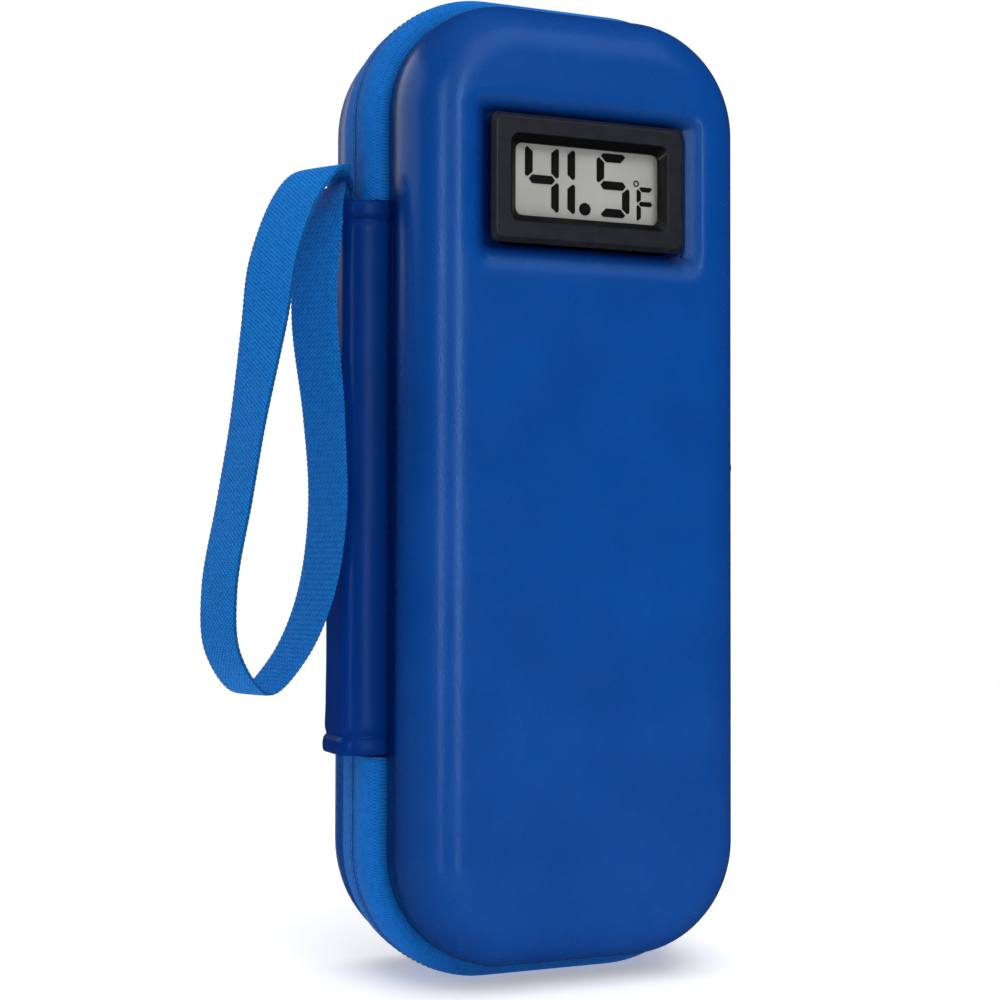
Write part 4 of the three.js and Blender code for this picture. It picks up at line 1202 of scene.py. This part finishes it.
# %% [markdown]
# A cold pack is a pouch of film, welded along its edge and filled with gel. It is too thin and
# too closely held to be blown up in a simulation, so a fine grid is shaped directly: flat at
# the weld, round beside it, and with short creases where the film is gathered by the weld.

# %% Cold packs
PACK_EDGE = 1.6 * MM
PACK_WELD = 0.6 * MM
PACK_ROUND = 6 * MM
PACK_CORNER = 6.4 * MM
PACK_CELL = 1.5 * MM
gel = Finish("gel_film", screen(150, 196, 226), 0.24, Subsurface_Weight=0.35, Coat_Weight=0.4,
             Coat_Roughness=0.1)
gel.shader.inputs["Subsurface Radius"].default_value = (0.002, 0.004, 0.006)
cloud = gel.noise(gel.place(), 55, 4)
gel.tint(cloud, (0.3, screen(128, 182, 220)), (0.55, screen(160, 204, 230)), (0.75, screen(196, 224, 238)))
gel.bump(gel.noise(gel.place(), 420, 3), 0.15 * MM)


def cold_pack(name, node):
    low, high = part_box(node)
    size, middle = high - low, (low + high) / 2
    bulge = size.y / 2 - PACK_WELD / 2 - 0.35 * MM
    films = []
    for side in (-1, 1):
        piece = begin(
            name, bpy.ops.mesh.primitive_grid_add, size=1, x_subdivisions=round(size.x / PACK_CELL),
            y_subdivisions=round(size.z / PACK_CELL),
        )
        rest()
        for vertex in piece.data.vertices:
            x, z = vertex.co.x * size.x, vertex.co.y * size.z
            over = Vector((abs(x) - size.x / 2 + PACK_CORNER, abs(z) - size.z / 2 + PACK_CORNER))
            if over.x > 0 and over.y > 0:
                reach = max(over.x, over.y)
                over = over.normalized() * reach
                x = math.copysign(size.x / 2 - PACK_CORNER + over.x, x)
                z = math.copysign(size.z / 2 - PACK_CORNER + over.y, z)
                inside = PACK_CORNER - reach
            else:
                inside = min(size.x / 2 - abs(x), size.z / 2 - abs(z))
            t = min(1, max(0, inside - PACK_EDGE) / PACK_ROUND)
            swell = (1 - (1 - t) ** 2) ** 0.5
            gather = math.sin(x * 900 + 2 * math.sin(z * 310)) * math.sin(z * 780 + 2 * math.sin(x * 270))
            lump = math.sin(x * 120 + 1.3) * math.sin(z * 75 + 0.4 * side)
            rise = bulge * swell + 0.3 * MM * (gather * t * (1 - t) * 4 + lump * t)
            vertex.co = (middle.x + x, middle.y + side * (PACK_WELD / 2 + max(0, rise)), middle.z + z)
        films.append(piece)
    pack = join(films)
    edit(pack)
    choose(pack, "EDGE", lambda e: len(e.link_faces) == 1)
    bpy.ops.mesh.bridge_edge_loops(interpolation="LINEAR")
    face_out()
    smooth(pack, 50)
    return pack


for name, node, body in (("lid_pack", "front_gel_pack", "lid"), ("base_pack", "rear_gel_pack", "base")):
    pack = settle(cold_pack(name, node), body, "gel_film", gel.material, node)

# %% [markdown]
# The lid's pocket is a black net in a sewn border. The net starts as a grid whose squares are
# turned into diamonds, and the Wireframe modifier leaves only its threads. The border hides
# the cut ends, and a ribbed elastic closes the pocket's mouth.

# %% Net pocket
NET_CELL = 3 * MM
NET_THREAD = 0.5 * MM
BORDER_W = 4.4 * MM
BORDER_T = 0.75 * MM


def knitted(name, dark, light, pitch, direction, depth, roughness):
    """Cloth whose ribs run straight across one axis."""
    finish = Finish(name, light, roughness, Sheen_Weight=0.3, Sheen_Roughness=0.5, Specular_IOR_Level=0.3)
    point = finish.place((1 / pitch, 1 / pitch, 1 / pitch))
    rib = finish.wave(point, 0.314, direction)
    fuzz = finish.noise(finish.place(), 1500, 3)
    finish.tint(finish.mix(rib, 0.6, fuzz, 0.5), (0.2, dark), (0.9, light))
    finish.bump(rib, depth)
    finish.bump(fuzz, depth / 2)
    return finish.material


net_yarn = knitted("net", screen(14, 14, 17), screen(44, 44, 50), 0.5 * MM, "DIAGONAL", 0.03 * MM, 0.7)
band_cloth = knitted("elastic", screen(12, 12, 15), screen(42, 42, 48), 0.9 * MM, "Z", 0.12 * MM, 0.75)

pocket_low, pocket_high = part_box("mesh_pocket")
pocket_mid = (pocket_low + pocket_high) / 2
pocket_w, pocket_h = pocket_high.x - pocket_low.x, pocket_high.z - pocket_low.z
pocket_corner = CORNER_R - (pocket_low.z - tape_low.z)


def inside_pocket(x, z):
    """How far a place on the net lies inside the pocket's outline."""
    dx = abs(x) - pocket_high.x + pocket_corner
    dz = pocket_low.z + pocket_corner - z
    if dx > 0 and dz > 0:
        return pocket_corner - math.hypot(dx, dz)
    return min(pocket_high.x - abs(x), z - pocket_low.z)


net = begin(
    "pocket_net", bpy.ops.mesh.primitive_grid_add, size=1, location=pocket_mid,
    rotation=(math.radians(90), 0, 0),
    x_subdivisions=round(pocket_w / NET_CELL), y_subdivisions=round(pocket_h / NET_CELL),
)
bpy.ops.mesh.select_all(action="SELECT")
bpy.ops.transform.resize(value=(pocket_w, 1, pocket_h), center_override=pocket_mid)
bpy.ops.mesh.poke()
bpy.ops.mesh.tris_convert_to_quads(face_threshold=math.radians(179), shape_threshold=math.radians(179))
choose(net, "VERT", lambda v: inside_pocket(v.co.x, v.co.z) < 0.8 * MM)
bpy.ops.mesh.delete(type="VERT")
rest()
apply(net, "WIREFRAME", thickness=NET_THREAD, use_even_offset=False, use_boundary=True, use_replace=True)
smooth(net, 60)
settle(net, "lid", "net", net_yarn, "mesh_pocket")

# %% [markdown]
# The border follows the sides and the round bottom corners of the pocket. It is a wire, drawn to
# the border's thickness and then widened inwards over the cut ends of the net. The elastic at
# the mouth is its solid, softened.

# %% Pocket border and mouth
TURN_STEPS = 12
turns = [math.pi + (math.pi / 2) * k / TURN_STEPS for k in range(TURN_STEPS + 1)]
corner_x, corner_z = pocket_high.x - pocket_corner, pocket_low.z + pocket_corner
edge = [(-pocket_high.x, pocket_high.z)]
edge += [(-corner_x + pocket_corner * math.cos(a), corner_z + pocket_corner * math.sin(a)) for a in turns]
edge += [(-x, z) for x, z in reversed(edge)]
border = wire("pocket_border", [Vector((x, pocket_mid.y - BORDER_T / 2, z)) for x, z in edge])
draw((0, BORDER_T, 0))
face_out()
if any(f.normal.z > 0.5 for f in bmesh.from_edit_mesh(border.data).faces):
    bpy.ops.mesh.flip_normals()
rest()
apply(border, "SOLIDIFY", thickness=BORDER_W, offset=-1, use_even_offset=True)
apply(border, "BEVEL", width=0.25 * MM, segments=2, limit_method="ANGLE", angle_limit=math.radians(50))
smooth(border, 50)
settle(border, "lid", "net", net_yarn)
mouth = soften("pocket_binding", "pocket_mouth", 0.6 * MM, 4)
settle(mouth, "lid", "elastic", band_cloth, "pocket_binding")

# %% [markdown]
# The base holds a stiff cloth-covered panel with two elastic bands. Each band is sewn down at
# four places, so that it makes three loops for pens. Its section is a wavy line, drawn upwards
# in rows and given its thickness.

# %% Pen panel and loops
panel_greys = screen(16, 16, 19), screen(40, 40, 45)
panel_cloth = knitted("panel_cloth", *panel_greys, 0.7 * MM, "DIAGONAL", 0.05 * MM, 0.8)
pen_panel = soften("pen_board", "pen_panel", 0.5 * MM, 3)
settle(pen_panel, "base", "net", panel_cloth, "pen_board")

ELASTIC_T = 1 * MM
LOOPS = 3
LOOP_STEPS = 22
BAND_ROWS = 4
SEAM_IN = 0.8 * MM
SEAM_STITCHES, SEAM_START, SEAM_PITCH = 11, 1.2 * MM, 1.75 * MM
SEAM_L, SEAM_W = 1.2 * MM, 0.4 * MM
upright_stitch = Matrix.Rotation(math.radians(90), 4, "X") @ Matrix.Rotation(math.radians(90), 4, "Z")


def loop_seams(low, high):
    """Places of the stitches that hold a band down, at its ends and between its loops."""
    for k in range(LOOPS + 1):
        inward = SEAM_IN if k == 0 else -SEAM_IN if k == LOOPS else 0
        x = low.x + (high.x - low.x) * (k / LOOPS) + inward
        for row in range(SEAM_STITCHES):
            z = low.z + SEAM_START + row * SEAM_PITCH
            yield Matrix.Translation((x, high.y - ELASTIC_T - TINY, z)) @ upright_stitch


for name in ("lower", "upper"):
    low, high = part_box(f"{name}_elastic")
    rise = high.y - low.y - ELASTIC_T
    count = LOOPS * LOOP_STEPS
    line = [
        Vector((
            low.x + (high.x - low.x) * k / count,
            high.y - ELASTIC_T / 2 - rise * math.sin(math.pi * k / LOOP_STEPS) ** 2,
            low.z,
        ))
        for k in range(count + 1)
    ]
    band = wire(f"{name}_pen_loops", line)
    for _ in range(BAND_ROWS):
        draw((0, 0, (high.z - low.z) / BAND_ROWS))
    face_out()
    rest()
    apply(band, "SOLIDIFY", thickness=ELASTIC_T * 0.9, offset=0)
    apply(band, "BEVEL", width=0.3 * MM, segments=3, limit_method="ANGLE", angle_limit=math.radians(60))
    smooth(band, 50)
    settle(band, "base", "elastic", band_cloth, f"{name}_elastic")
    sewn = scatter(f"{name}_loop_seams", one_stitch("stitch", SEAM_L, SEAM_W), loop_seams(low, high))
    smooth(sewn)
    settle(sewn, "base", "elastic", band_cloth)

# %% [markdown]
# The floor is one pale sheet. The background is white to the camera alone, because a white room
# all round would lay a grey veil over the leather.

# %% Floor and background
FLOOR_SIZE = 1.1
ROOM_LIGHT = 0.12
ROOM_SHINE = 0.025
rest()
bpy.ops.mesh.primitive_plane_add(size=FLOOR_SIZE, location=(0, 0, 0))
floor = bpy.context.object
floor.name = "floor"
floor.visible_glossy = False
paper = Finish("paper", (0.86, 0.86, 0.87, 1), 0.6, Emission_Color=(1, 1, 1, 1), Emission_Strength=0.36)
floor.data.materials.append(paper.material)

world = bpy.data.worlds.new("studio")
bpy.context.scene.world = world
world.use_nodes = True
room = world.node_tree
sky = room.nodes["Background"]
sky.inputs["Color"].default_value = (1, 1, 1, 1)
seen = room.nodes.new("ShaderNodeLightPath")
dim = room.nodes.new("ShaderNodeMath")
dim.operation = "MULTIPLY_ADD"
dim.inputs[1].default_value = ROOM_LIGHT
dim.inputs[2].default_value = ROOM_SHINE
white = room.nodes.new("ShaderNodeMath")
white.operation = "MAXIMUM"
room.links.new(seen.outputs["Is Diffuse Ray"], dim.inputs[0])
room.links.new(seen.outputs["Is Camera Ray"], white.inputs[0])
room.links.new(dim.outputs[0], white.inputs[1])
room.links.new(white.outputs[0], sky.inputs["Strength"])
bpy.context.scene.view_settings.view_transform = "Standard"

# %% [markdown]
# The light is that of a small studio. A wide, soft sun lights the floor. Two soft boxes, above
# the front and at the left, light the case and are not mirrored in it. The other boxes are only
# mirrored: two tall strips make the bright lines on the lid's round edge, and the boxes above,
# behind and high at the left brighten the edges that face them.

# %% Lamps
MIDDLE = Vector((0, 0, 0.11))


def toward(left, up, distance):
    """A place seen from the case's middle: degrees to the left of straight ahead, and up."""
    left, up = math.radians(left), math.radians(up)
    flat = Vector((-math.sin(left), -math.cos(left), 0)) * math.cos(up)
    return MIDDLE + distance * (flat + Vector((0, 0, math.sin(up))))


def soft_box(name, place, width, height, glow, shines):
    """A rectangle of light that faces the case. Glow is its brightness. It shines or shades."""
    data = bpy.data.lights.new(name, "AREA")
    data.shape = "RECTANGLE"
    data.size, data.size_y = width, height
    data.energy = glow * math.pi * width * height
    lamp = bpy.data.objects.new(name, data)
    bpy.context.collection.objects.link(lamp)
    lamp.location = place
    lamp.rotation_euler = (MIDDLE - place).to_track_quat("-Z", "Y").to_euler()
    lamp.visible_camera = False
    lamp.visible_glossy = shines
    lamp.visible_diffuse = not shines


soft_box("key_box", toward(2, 37, 0.9), 0.8, 0.6, 2.95, False)
soft_box("side_box", toward(95, 22, 0.9), 0.5, 0.7, 0.4, False)
soft_box("rear_box", toward(187, 6, 0.9), 0.42, 0.9, 0.4, True)
soft_box("left_strip", toward(37, 4, 0.8), 0.045, 0.8, 15, True)
soft_box("front_strip", toward(3, 4, 0.9), 0.08, 0.8, 11, True)
soft_box("top_box", toward(-18, 48, 0.9), 0.7, 0.5, 1.3, True)
soft_box("high_box", toward(124, 28, 0.9), 1.3, 0.6, 1.5, True)
sun = bpy.data.lights.new("sun", "SUN")
sun.energy, sun.angle = 2.2, math.radians(70)
lamp = bpy.data.objects.new("sun", sun)
bpy.context.collection.objects.link(lamp)
lamp.visible_glossy = False
